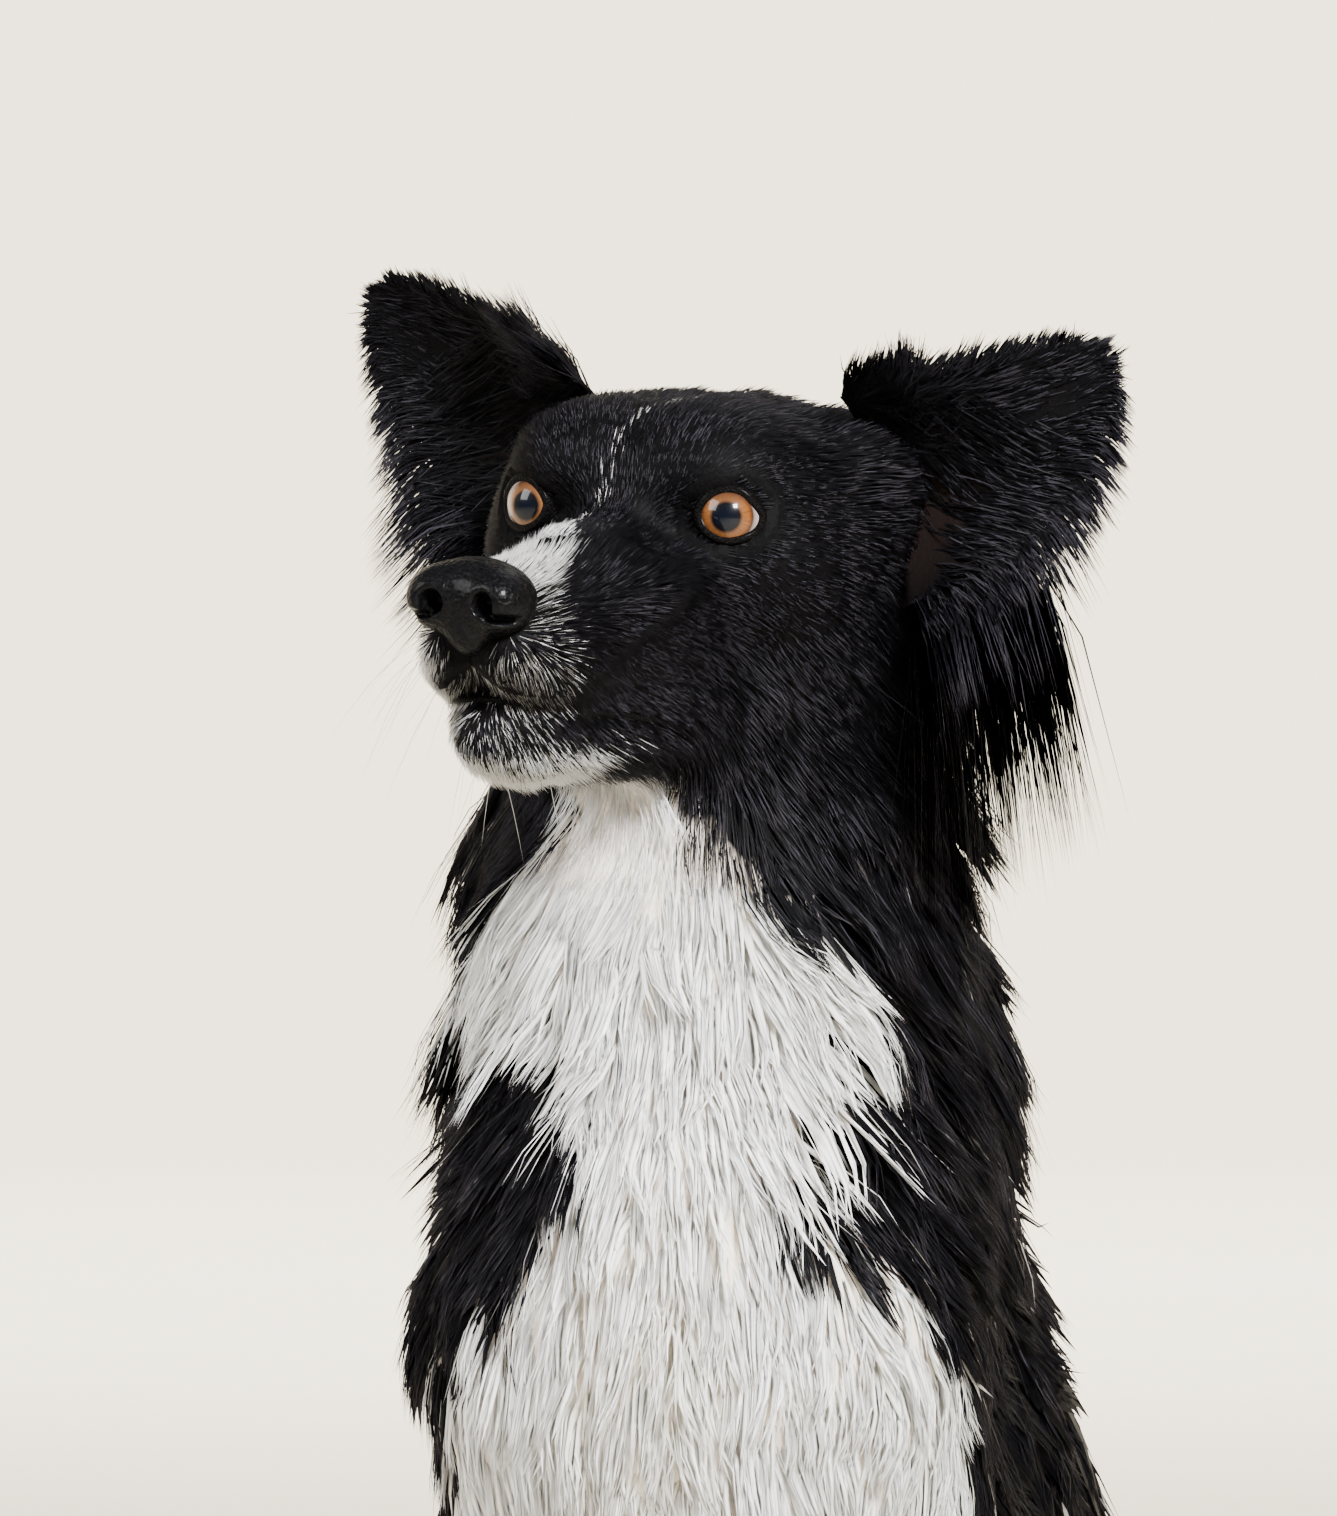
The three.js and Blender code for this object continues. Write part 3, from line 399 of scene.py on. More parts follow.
def set_attribute(mesh, name, kind, values):
    """Stores one value for each vertex."""
    data = mesh.attributes.new(name, kind, "POINT").data
    key = "color" if kind == "FLOAT_COLOR" else "vector"
    data.foreach_set(key, np.asarray(values, np.float32).ravel())


# ---------------------------------------------------------------- markings


def ripple(p, size):
    """A smooth wobble between about -1 and 1, for ragged edges."""
    q = p / size
    return (
        np.sin(q[:, 0] * 2.1 + 1.3 * np.sin(q[:, 1] * 1.7 + 0.4))
        + np.sin(q[:, 1] * 2.3 + 1.1 * np.sin(q[:, 2] * 1.9 + 2.0))
        + np.sin(q[:, 2] * 2.2 + 1.2 * np.sin(q[:, 0] * 1.6 + 4.1))
    ) / 3


# The white of throat, bib and forechest: height, and how far round it reaches from straight ahead,
# in degrees to the dog's left and right.
BIB = np.array(
    [
        *((270, 96, 96), (300, 96, 96), (320, 92, 92), (345, 78, 60), (368, 72, 44)),
        *((382, 60, 38), (393, 46, 28), (401, 27, 18), (410, 25, 13), (422, 28, 12)),
        *((436, 32, 14), (450, 38, 22), (459, 40, 34), (467, 50, 58), (478, 42, 78)),
        *((490, 30, 78), (499, 20, 56), (508, 8, 26), (530, 6, 24), (585, 6, 22)),
    ],
    float,
)

# The blaze: place along the head, its middle to the dog's right and its half width.
BLAZE = np.array(
    [
        *((-40, -4, 0.0), (-26, -3, 0.8), (4, 1.5, 0.9), (28, 4.5, 1.2)),
        *((40, 4, 3.5), (52, 2, 7), (70, 0, 9.5), (92, 0, 11)),
    ],
    float,
)


def head_white(p):
    """How likely a hair of the head is to be white, in the head's frame."""
    x, y, z = p.T
    middle, half = (np.interp(y, BLAZE[:, 0], BLAZE[:, column]) for column in (1, 2))
    thin = lerp(0.38, 1.0, ease(y, 30, 50))
    edge = half - np.abs(x - middle) + thin * ripple(p, 5)
    blaze = thin * ease(edge, lerp(-1.2, -4.5, thin), lerp(1.0, 2.5, thin)) * (z > -24) * (half > 0.3)
    wing = 0.5 * ease(y, 66, 84) * ease(z, -38, -24)
    lip = 0.5 * ease(y, 68, 86) * ease(-z, 28, 40)
    far_lip = 0.35 * ease(x, 4, 16) * ease(y, 60, 76) * (z < -30)
    chin = ease(y + 2 * ripple(p, 7), 40, 56) * ease(-z, 52, 66)
    return np.maximum.reduce([blaze, wing, lip + far_lip, 0.92 * chin])


def white_at(p):
    """How white the coat is at a point on the skin, from 0 to 1."""
    x, y, z = p.T
    wobble = ripple(p, 9) + 0.6 * ripple(p, 4)
    left, right = np.interp(z, BIB[:, 0], BIB[:, 1]), np.interp(z, BIB[:, 0], BIB[:, 2])
    angle = np.degrees(np.arctan2(x, -(y + 88)))
    reach = np.where(angle > 0, left - angle, right + angle) + 7 * wobble
    bib = ease(reach, -3, 3) * ease(z, 262, 275)
    legs = ease(-y + 6 * wobble, -4, 4) * ease(-z + 5 * wobble, -300, -286) * (np.abs(x) > 10)
    between = ease(-y, 0, 20) * ease(-z, -330, -300)
    feet = ease(-z + 3 * wobble, -62, -52) * (np.abs(x) > 52) * (y < 205)
    under = ease(-z + 0.55 * y, -150, -135) * (np.abs(x) < 44) * (y < 120) * (y > -60)
    tip = ease(x + 8 * wobble, 122, 134) * (y > 300)
    white = np.maximum.reduce([bib, legs, between, feet, under, tip])
    q = to_head(p)
    on_head = (norm(q) < 150) & (q[:, 1] > -110)
    jaw_line = ease(q[:, 2] + 0.12 * q[:, 1], -70, -63)
    return np.where(on_head, lerp(white, head_white(q), jaw_line), white)


# ---------------------------------------------------------------- materials


class Paint:
    """A material, with a short way to add each kind of node that the looks need."""

    def __init__(self, name, **values):
        self.material = bpy.data.materials.new(name)
        self.material.use_nodes = True
        self.tree = self.material.node_tree
        self.shader = self.tree.nodes["Principled BSDF"]
        for key, value in values.items():
            self.set(key.replace("_", " "), value)

    def wire(self, source, socket):
        """Links a node's output to an input, or sets the input to a plain value."""
        if isinstance(source, (int, float, tuple)):
            socket.default_value = source
        else:
            self.tree.links.new(source, socket)

    def set(self, key, source):
        self.wire(source, self.shader.inputs[key])

    def node(self, kind, inputs, **settings):
        """The outputs of a new node."""
        made = self.tree.nodes.new("ShaderNode" + kind)
        for key, value in settings.items():
            setattr(made, key, value)
        for key, source in inputs.items():
            self.wire(source, made.inputs[key])
        return made.outputs

    def mix(self, factor, a, b):
        a, b = ((*colour, 1) if isinstance(colour, tuple) else colour for colour in (a, b))
        return self.node("Mix", {0: factor, 6: a, 7: b}, data_type="RGBA", clamp_factor=True)[2]

    def math(self, operation, a, b, clamp=False):
        return self.node("Math", {0: a, 1: b}, operation=operation, use_clamp=clamp)[0]

    def spread(self, value, low, high, to_low=0.0, to_high=1.0):
        inputs = {"Value": value, "From Min": low, "From Max": high, "To Min": to_low, "To Max": to_high}
        return self.node("MapRange", inputs, clamp=True)["Result"]

    def noise(self, vector, scale, detail=2.0, roughness=0.5):
        inputs = {"Vector": vector, "Scale": scale, "Detail": detail, "Roughness": roughness}
        return self.node("TexNoise", inputs)["Fac"]

    def bump(self, height, strength, distance):
        inputs = {"Height": height, "Strength": strength, "Distance": distance}
        self.set("Normal", self.node("Bump", inputs)[0])

    def place(self):
        return self.node("TexCoord", {})["Object"]

    def attribute(self, name):
        return self.node("Attribute", {}, attribute_name=name)


def coat_material():
    """Hair: `mark` holds white, shade, place along it and cream; `strand` runs across and along it."""
    hair = Paint("coat", Specular_IOR_Level=0.028, Subsurface_Weight=0.8)
    hair.set("Subsurface Radius", (1.0, 0.9, 0.8))
    hair.set("Subsurface Scale", 0.003)
    mark = hair.attribute("mark")
    white, shade, along = hair.node("SeparateColor", {0: mark["Color"]})
    streak = hair.noise(hair.attribute("strand")["Vector"], 1.6)
    tone = hair.math("ADD", hair.math("MULTIPLY", shade, 0.6), hair.math("MULTIPLY", streak, 0.5))
    black = hair.mix(tone, (0.0006, 0.0006, 0.0008), (0.0022, 0.0021, 0.0027))
    rusty = hair.math("MULTIPLY", hair.math("SUBTRACT", along, 0.75, True), 1.2)
    black = hair.mix(rusty, black, (0.0045, 0.0034, 0.0029))
    # White hair is darker and creamier at its root than at its tip: partly its own cream, partly painted
    # shade of the roots deep in the coat.
    root = hair.mix(mark["Alpha"], (0.86, 0.79, 0.69), (0.82, 0.66, 0.44))
    end = hair.mix(mark["Alpha"], (0.96, 0.925, 0.87), (0.91, 0.78, 0.58))
    pale = hair.mix(hair.spread(along, 0.0, 0.55), root, end)
    dim = hair.spread(tone, 0.1, 0.9, 0.90, 1.0)
    pale = hair.node("VectorMath", {0: pale, "Scale": dim}, operation="SCALE")[0]
    hair.set("Base Color", hair.mix(white, black, pale))
    hair.set("Roughness", hair.spread(streak, 0.2, 0.8, 0.44, 0.58))
    hair.bump(streak, 0.2, 0.0001)
    return hair.material


def skin_material():
    """Skin: dark under black hair, cream under white hair and flushed in the ears."""
    skin = Paint("skin", Roughness=0.6, Specular_IOR_Level=0.025)
    white, flush, _ = skin.node("SeparateColor", {0: skin.attribute("mark")["Color"]})
    grain = skin.noise(skin.place(), 900, 3.0)
    dark = skin.mix(grain, (0.0008, 0.0008, 0.0010), (0.0028, 0.0025, 0.0027))
    dark = skin.mix(flush, dark, (0.0060, 0.0038, 0.0034))
    pale = skin.mix(grain, (0.62, 0.54, 0.46), (0.80, 0.73, 0.65))
    skin.set("Base Color", skin.mix(white, dark, pale))
    skin.bump(grain, 0.6, 0.0004)
    return skin.material


def leather_material(name, scale, low, high, roughness, gloss):
    """Pebbled bare skin, as on nose, lids and pads."""
    hide = Paint(name, Specular_IOR_Level=0.03, Coat_Weight=gloss, Coat_Roughness=0.14)
    place = hide.place()
    cells = hide.node("TexVoronoi", {"Vector": place, "Scale": scale}, feature="SMOOTH_F1")["Distance"]
    fine = hide.noise(place, scale * 2.2, 3.0)
    tone = hide.math("MULTIPLY", cells, fine)
    hide.set("Base Color", hide.mix(hide.spread(tone, 0.05, 0.45), low, high))
    hide.set("Roughness", hide.spread(fine, 0.3, 0.7, roughness * 0.75, roughness * 1.3))
    height = hide.math("SUBTRACT", hide.math("MULTIPLY", fine, 0.25), cells)
    hide.bump(height, 0.9, 0.0006)
    return hide.material


IRIS = 6.9
PUPIL = 4.0


def eye_material():
    """The eyeball: `polar` holds the distance from the pupil's middle and a point on the unit circle."""
    eye = Paint("eye", Roughness=0.3, Specular_IOR_Level=0.05, Coat_Weight=1.0)
    eye.set("Coat Roughness", 0.0)
    eye.set("Coat IOR", 1.26)
    polar = eye.attribute("polar")["Vector"]
    radius, side, up = eye.node("SeparateXYZ", {0: polar})
    spokes = [eye.math("MULTIPLY", part, gain) for part, gain in ((radius, 0.12), (side, 5.0), (up, 5.0))]
    fibres = eye.noise(eye.node("CombineXYZ", dict(enumerate(spokes)))[0], 3.2, 5.0, 0.7)
    blotch = eye.noise(polar, 0.9)
    amber = eye.mix(eye.spread(fibres, 0.3, 0.7), (0.055, 0.017, 0.004), (0.20, 0.066, 0.013))
    amber = eye.mix(eye.spread(blotch, 0.4, 0.7, 0.0, 0.4), amber, (0.10, 0.032, 0.006))
    brown = eye.mix(fibres, (0.050, 0.022, 0.010), (0.16, 0.065, 0.022))
    amber = eye.mix(eye.spread(radius, PUPIL + 0.2, PUPIL + 2.2, 1.0, 0.0), amber, brown)
    # The iris darkens towards its top: painted shade of the upper lid.
    high = eye.spread(eye.math("MULTIPLY", radius, up), 2.5, 6.0, 0.0, 0.75)
    amber = eye.mix(high, amber, (0.022, 0.012, 0.008))
    iris = eye.mix(eye.spread(radius, IRIS - 1.2, IRIS), amber, (0.022, 0.009, 0.005))
    sclera = eye.mix(eye.spread(radius, IRIS, IRIS + 2.8), (0.09, 0.06, 0.05), (0.36, 0.32, 0.31))
    outside = eye.mix(eye.spread(radius, IRIS - 0.1, IRIS + 0.35), iris, sclera)
    # The pupil turns bluer towards its middle: a painted reflection from the back of the eye.
    pupil_painted_reflection = eye.mix(eye.spread(radius, 1.0, PUPIL), (0.0015, 0.0025, 0.0055), (0.002, 0.002, 0.003))
    eye.set("Base Color", eye.mix(eye.spread(radius, PUPIL - 0.5, PUPIL + 0.4), pupil_painted_reflection, outside))
    return eye.material


COAT = coat_material()
SKIN = skin_material()
NOSE = leather_material("nose leather", 850, (0.0009, 0.0009, 0.0011), (0.0036, 0.0034, 0.0039), 0.34, 0.06)
LID = leather_material("lid skin", 2200, (0.0008, 0.0007, 0.0007), (0.0030, 0.0025, 0.0025), 0.45, 0.02)
CLAW = leather_material("claw", 260, (0.010, 0.009, 0.008), (0.045, 0.038, 0.034), 0.35, 0.3)
PAD = leather_material("paw pad", 1300, (0.010, 0.009, 0.009), (0.045, 0.038, 0.036), 0.65, 0.0)
EYE = eye_material()

# ---------------------------------------------------------------- the skin

SKIN_CELL = 3.6
SKIN_LOW = (-128, -286, -3)
SKIN_HIGH = (214, 396, 668)
FINER_FROM = (-78, -22)  # the head's faces are split in front of each of these places along the head

# The mouth from its middle to its right corner: points inside the jaw, and which way it lies from them,
# in degrees from straight ahead.
MOUTH = [
    *((0, 62, -49, 0), (0, 62, -49.5, 24), (0, 62, -50.5, 52), (0, 58, -51.5, 80)),
    *((0, 44, -53, 90), (0, 30, -55, 90), (0, 19, -59, 90)),
]


def mouth_line():
    """Where rays from the mouth's points, and from their mirror images, leave the head."""
    rows = np.array([(x, y, z, -a) for x, y, z, a in MOUTH[:0:-1]] + MOUTH, float)
    start, angle = rows[:, :3], np.radians(rows[:, 3])
    out = np.stack([np.sin(angle), np.cos(angle), np.zeros(len(rows))], axis=1)
    low, high = np.zeros(len(rows)), np.full(len(rows), 70.0)
    for _ in range(18):
        middle = (low + high) / 2
        inside = joined(SKULL, start + middle[:, None] * out, HOLLOWS) < 0
        low, high = np.where(inside, middle, low), np.where(inside, high, middle)
    return start + low[:, None] * out


MOUTH_LINE = mouth_line()
GROOVE = 1.0  # half width of the mouth's groove

# The opening between the lids: half width to the inner and the outer corner, and height above and below.
LID_INNER, LID_OUTER, LID_UP, LID_DOWN = 8.0, 8.3, 6.4, 6.3
LID_SKIN = 1.0
ALMOND = 0.3  # how far the opening goes from an oval to an almond


def rim_angle(direction, sign):
    """How far from the eye's axis the opening reaches, as an angle at the eyeball's middle."""
    inward, up = -sign * np.cos(direction), np.sin(direction)
    wide = np.where(inward > 0, LID_INNER, LID_OUTER)
    high = np.where(up > 0, LID_UP, LID_DOWN)
    oval = 1 / np.hypot(inward / wide, up / high)
    bow = high * (inward / wide) ** 2 + 1e-6
    almond = (np.sqrt(up**2 + 4 * high * bow) - np.abs(up)) / (2 * bow)
    reach = lerp(oval, almond, ALMOND)
    x, z = inward * reach, up * reach
    z = z - 0.4 * np.clip(inward, 0, 1) ** 4 - 2.2 * np.clip(-inward, 0, 1) ** 4
    return np.arcsin(np.clip(np.hypot(x, z) / (EYE_RADIUS + 0.6), 0, 0.995))


def eye_frame(sign, out=EYE_OUT):
    """Rotation of an eye's frame in the head's frame: x to the dog's right, y out of the opening."""
    return np.array(Matrix.Rotation(-sign * out, 3, "Z"))


def eye_polar(q, sign):
    """Distance from an eyeball's middle, and angles from its axis to each point and to the rim."""
    local = (q - (sign * EYE_AT, 0, 0)) @ eye_frame(sign)
    reach = norm(local)
    turn = np.arccos(np.clip(local[:, 1] / np.maximum(reach, 1e-6), -1, 1))
    return reach, turn, rim_angle(np.arctan2(local[:, 2], local[:, 0]), sign)


def groove_distance(p):
    best = np.full(len(p), FAR)
    for a, b in zip(MOUTH_LINE, MOUTH_LINE[1:]):
        axis = b - a
        t = np.clip((p - a) @ axis / (axis @ axis), 0, 1)
        best = np.minimum(best, norm(p - a - t[:, None] * axis))
    return best


def detailed_flesh(p):
    """The flesh with eye sockets and the mouth's groove."""
    d = flesh(p)
    q = to_head(p)
    near = (norm(q - (0, 30, -20)) < 95) & (d > -30) & (d < 30)
    h, q = d[near], q[near]
    for sign in (-1, 1):
        reach, turn, rim = eye_polar(q, sign)
        h = blend(h, reach - (EYE_RADIUS + LID_SKIN), 6)
        h = -blend(-h, (turn - rim - 0.1) * reach, 0.8)
        h = -blend(-h, reach - (EYE_RADIUS - 0.3), 0.5)
    h = -blend(-h, groove_distance(q) - GROOVE, 2)
    d[near] = h
    return d


def skin_points():
    points, quads = surface_net(flesh, SKIN_LOW, SKIN_HIGH, SKIN_CELL)
    bm = bmesh.new()
    for p in points:
        bm.verts.new(p)
    bm.verts.ensure_lookup_table()
    for q in quads:
        bm.faces.new([bm.verts[i] for i in q])
    for front in FINER_FROM:
        local = to_head(np.array([v.co for v in bm.verts]))
        chosen = (local[:, 1] > front) & (np.abs(local[:, 0]) < 70) & (local[:, 2] > -80)
        edges = [e for e in bm.edges if all(chosen[v.index] for v in e.verts)]
        bmesh.ops.subdivide_edges(bm, edges=edges, cuts=1, use_grid_fill=True)
        bm.verts.index_update()
    bmesh.ops.triangulate(bm, faces=[f for f in bm.faces if len(f.verts) > 4])
    p = np.array([v.co for v in bm.verts])
    for _ in range(4):
        d, normal = slope(detailed_flesh, p, 0.5)
        p -= normal * np.clip(d, -1.2, 1.2)[:, None]
    for v, co in zip(bm.verts, placed(p)):
        v.co = co
    mesh = bpy.data.meshes.new("skin")
    bm.to_mesh(mesh)
    bm.free()
    mesh.polygons.foreach_set("use_smooth", np.ones(len(mesh.polygons), bool))
    return mesh, p


FLESH_NODES = [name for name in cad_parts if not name.startswith(("eye", "nose", "ear"))]


def add_skin():
    mesh, points = skin_points()
    q = to_head(points)
    on_face = ease(q[:, 1], -70, -50) * ease(q[:, 2], -78, -68)
    white = ease(white_at(points), 0.45, 0.9) * (1 - on_face)
    mark = np.stack([white, white * 0, white * 0, np.ones(len(white))], axis=1)
    set_attribute(mesh, "mark", "FLOAT_COLOR", mark)
    skin = new_object("skin", mesh, SKIN)
    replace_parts(skin, *FLESH_NODES)
    mesh.calc_loop_triangles()
    triangles = np.empty(len(mesh.loop_triangles) * 3, np.int32)
    mesh.loop_triangles.foreach_get("vertices", triangles)
    return points, triangles.reshape(-1, 3)


# ---------------------------------------------------------------- combing

# Guides of the body's coat on the left side, mirrored for the right: place, lie, length, lift, width,
# spacing and clump. Lift is the height of the tip above the skin as a share of the length.
BODY_GUIDES = [
    # throat, bib and ruff
    (0, -140, 545, 0, -0.2, -1, 26, 0.17, 0.36, 1.5, 5),
    (0, -146, 510, 0, -0.1, -1, 31, 0.2, 0.36, 1.5, 7),
    (0, -150, 470, 0, -0.05, -1, 34, 0.28, 0.36, 1.5, 8),
    (0, -165, 430, 0, 0, -1, 31, 0.29, 0.36, 1.9, 8),
    (0, -168, 390, 0, 0.05, -1, 29, 0.28, 0.36, 1.9, 8),
    (0, -160, 350, 0, 0.15, -1, 28, 0.27, 0.36, 1.9, 8),
    (0, -135, 300, 0, 0.4, -1, 30, 0.25, 0.36, 1.9, 8),
    (40, -140, 505, 0.55, -0.1, -1, 35, 0.32, 0.36, 1.5, 8),
    (48, -135, 465, 0.75, -0.1, -1, 40, 0.34, 0.36, 1.5, 9),
    (50, -150, 425, 0.5, 0, -1, 35, 0.32, 0.36, 1.9, 9),
    (46, -150, 385, 0.05, 0.1, -1, 30, 0.24, 0.36, 1.9, 8),
    (54, -95, 520, 0.6, 0.1, -0.9, 60, 0.44, 0.42, 1.6, 10),
    (58, -90, 475, 0.6, 0.1, -1, 58, 0.26, 0.42, 1.65, 11),
    (62, -85, 430, 0.4, 0.15, -1, 54, 0.22, 0.42, 2.1, 11),
    # shoulder, upper arm and elbow
    (66, -85, 385, 0.1, 0.25, -1, 42, 0.18, 0.42, 2.1, 9),
    (70, -70, 340, 0, 0.35, -1, 38, 0.17, 1.05, 2.1, 8),
    (54, -120, 340, 0, 0.15, -1, 32, 0.17, 0.36, 1.9, 8),
    (66, -40, 300, 0.05, 0.6, -1, 46, 0.2, 1.2, 2.3, 9),
    (56, -96, 280, 0, 0.1, -1, 24, 0.14, 0.36, 1.9, 7),
    # nape, withers and back
    (0, -40, 570, 0, 0.6, -1, 40, 0.19, 0.95, 2, 8),
    (0, -10, 510, 0, 0.7, -0.9, 56, 0.22, 0.95, 2, 10),
    (40, -40, 520, 0.4, 0.5, -1, 58, 0.24, 0.95, 2, 10),
    (0, 30, 450, 0, 0.7, -0.8, 60, 0.2, 1.04, 2.36, 11),
    (50, -10, 440, 0.3, 0.5, -0.9, 58, 0.22, 0.95, 2, 11),
    (0, 90, 360, 0, 0.7, -0.7, 58, 0.17, 1.67, 3.78, 12),
    (0, 150, 265, 0, 0.7, -0.8, 58, 0.17, 1.67, 3.78, 12),
    (0, 210, 165, 0, 0.6, -0.9, 58, 0.22, 1.67, 3.78, 12),
    (0, 245, 100, 0, 0.8, -0.7, 56, 0.26, 1.67, 3.78, 12),
    # flanks and belly
    (76, 10, 350, 0.1, 0.5, -0.9, 54, 0.16, 1.58, 3.54, 11),
    (80, 60, 270, 0.1, 0.45, -0.95, 54, 0.16, 1.58, 3.54, 11),
    (70, 10, 240, 0, 0.3, -1, 46, 0.22, 1.58, 3.54, 10),
    (40, 20, 180, 0, 0.3, -1, 40, 0.22, 1.67, 3.89, 9),
    (0, 20, 170, 0, 0.4, -1, 34, 0.2, 1.76, 4.13, 9),
    (0, 120, 80, 0, 0.4, -1, 26, 0.17, 1.94, 4.6, 9),
    # haunches
    (96, 110, 175, 0.1, 0.35, -1, 46, 0.17, 1.58, 3.54, 10),
    (104, 130, 120, 0.05, 0.5, -0.9, 40, 0.15, 1.58, 3.54, 9),
    (94, 60, 150, 0.05, 0.3, -1, 26, 0.14, 1.5, 3.3, 7),
    (88, 190, 110, 0.15, 0.7, -0.8, 52, 0.26, 1.58, 3.54, 11),
    (80, 205, 55, 0.2, 0.8, -0.5, 46, 0.26, 1.58, 3.54, 10),
    (56, 90, 110, 0, 0.3, -1, 26, 0.15, 1.76, 4.13, 8),
    # hocks and hind feet
    (84, 140, 45, 0, 0.4, -0.8, 18, 0.15, 1.82, 3.56, 5),
    (84, 150, 12, 0.1, -1, -0.1, 12, 0.14, 1.68, 3.4, 4),
    (86, 100, 28, 0, -1, -0.2, 10, 0.12, 1.4, 2.92, 4),
    (88, 50, 16, 0, -1, -0.4, 8, 0.12, 1.26, 2.59, 3),
    # forelegs and paws
    (50, -104, 230, 0, -0.05, -1, 15, 0.12, 1.4, 2.92, 5),
    (74, -78, 220, 0.05, 0.15, -1, 16, 0.12, 1.54, 3.08, 5),
    (50, -46, 235, 0, 0.7, -1, 44, 0.36, 1.57, 3.24, 9),
    (50, -52, 180, 0, 0.7, -1, 38, 0.36, 1.82, 3.24, 8),
    (50, -100, 160, 0, -0.05, -1, 10, 0.1, 1.26, 2.75, 4),
    (50, -66, 120, 0, 0.5, -1, 24, 0.31, 1.68, 3.08, 6),
    (50, -104, 80, 0, -0.2, -1, 8, 0.1, 1.26, 2.59, 3),
    (52, -120, 40, 0, -0.8, -0.7, 8, 0.12, 1.26, 2.43, 3),
    (52, -150, 16, 0, -1, -0.6, 8, 0.14, 1.26, 2.43, 3),
    (52, -92, 20, 0, -0.3, -1, 10, 0.17, 1.4, 2.75, 4),
]

# Guides of the head's coat, in the head's frame, right side.
HEAD_GUIDES = [
    (0, 84, -10, 0, -1, 0.2, 3.2, 0.2, 0.37, 0.88, 1.5),
    (0, 60, -7, 0, -1, 0.2, 4.5, 0.18, 0.41, 0.94, 2),
    (0, 30, -2, 0, -1, 0.3, 6, 0.16, 0.45, 0.99, 2),
    (16, 74, -28, 0.4, -1, 0, 3.6, 0.22, 0.37, 0.88, 1.5),
    (18, 60, -42, 0.3, -0.8, -0.6, 6, 0.24, 0.41, 0.94, 2),
    (6, 88, -44, 0.3, -0.1, -1, 4, 0.24, 0.33, 0.77, 2),
    (6, 86, -55, 0.1, -0.3, -1, 6, 0.24, 0.34, 0.83, 2.5),
    (16, 70, -58, 0.2, -0.8, -0.7, 8, 0.24, 0.37, 0.88, 2.5),
    (0, 84, -66, 0, -0.6, -0.9, 9, 0.26, 0.37, 0.88, 3),
    (0, 66, -71, 0, -1, -0.3, 10, 0.28, 0.41, 0.94, 3),
    (20, 40, -38, 0.3, -1, -0.3, 7, 0.18, 0.45, 1.04, 2.5),
    (18, 40, -64, 0.2, -1, -0.4, 9, 0.22, 0.49, 1.1, 3),
    (0, 40, -68, 0, -1, -0.2, 12, 0.24, 0.53, 1.21, 4),
    (0, 0, -66, 0, -1, -0.4, 20, 0.26, 0.66, 1.52, 5),
    (30, 14, -22, 0.4, -1, -0.3, 7, 0.14, 0.45, 1.04, 2.5),
    (14, 14, 6, 0.2, -0.8, 0.8, 5, 0.16, 0.41, 0.99, 2),
    (8, 4, 18, 0.1, -0.7, 0.8, 6, 0.16, 0.45, 1.11, 2.5),
    (22, 6, 20, 0.4, -0.5, 0.9, 6, 0.2, 0.45, 1.11, 2.5),
    (34, 0, 18, 0.7, -0.7, 0.4, 6, 0.18, 0.45, 1.11, 2.5),
    (44, -2, 0, 0.8, -1, -0.1, 6.5, 0.14, 0.49, 1.11, 2.5),
    (36, 8, -14, 0.6, -1, -0.3, 6, 0.14, 0.45, 1.04, 2.5),
    (46, -20, -16, 0.3, -1, -0.3, 10, 0.14, 0.53, 1.29, 3.5),
    (46, -20, -40, 0.2, -1, -0.7, 13, 0.18, 0.57, 1.35, 4),
    (52, -46, -26, 0.5, -0.8, -0.7, 38, 0.36, 0.57, 1.46, 7),
    (44, -56, -52, 0.6, -0.5, -1, 50, 0.44, 0.61, 1.52, 9),
    (30, -20, -62, 0.2, -0.8, -0.8, 20, 0.24, 0.66, 1.52, 5),
    (0, -20, 40, 0, -1, 0.1, 9, 0.16, 0.49, 1.29, 3),
    (20, -20, 36, 0.3, -1, 0.1, 9, 0.16, 0.49, 1.29, 3),
    (38, -16, 24, 0.6, -1, 0.2, 9, 0.16, 0.53, 1.29, 3),
    (52, -30, 8, 0.6, -1, 0.1, 13, 0.18, 0.61, 1.4, 4),
    (0, -64, 40, 0, -1, -0.3, 15, 0.18, 0.66, 1.75, 4),
    (30, -60, 36, 0.3, -1, -0.1, 14, 0.18, 0.66, 1.64, 4),
    (0, -102, 14, 0, -0.7, -1, 28, 0.24, 0.9, 2.34, 6),
    (40, -86, 0, 0.6, -0.6, -0.9, 46, 0.4, 0.66, 1.75, 8),
    (50, -66, -20, 0.7, -0.5, -0.9, 52, 0.46, 0.61, 1.64, 9),
]

TAIL_HAIR = 54  # length of the hair at the tail's root; each part of the tail adds 8


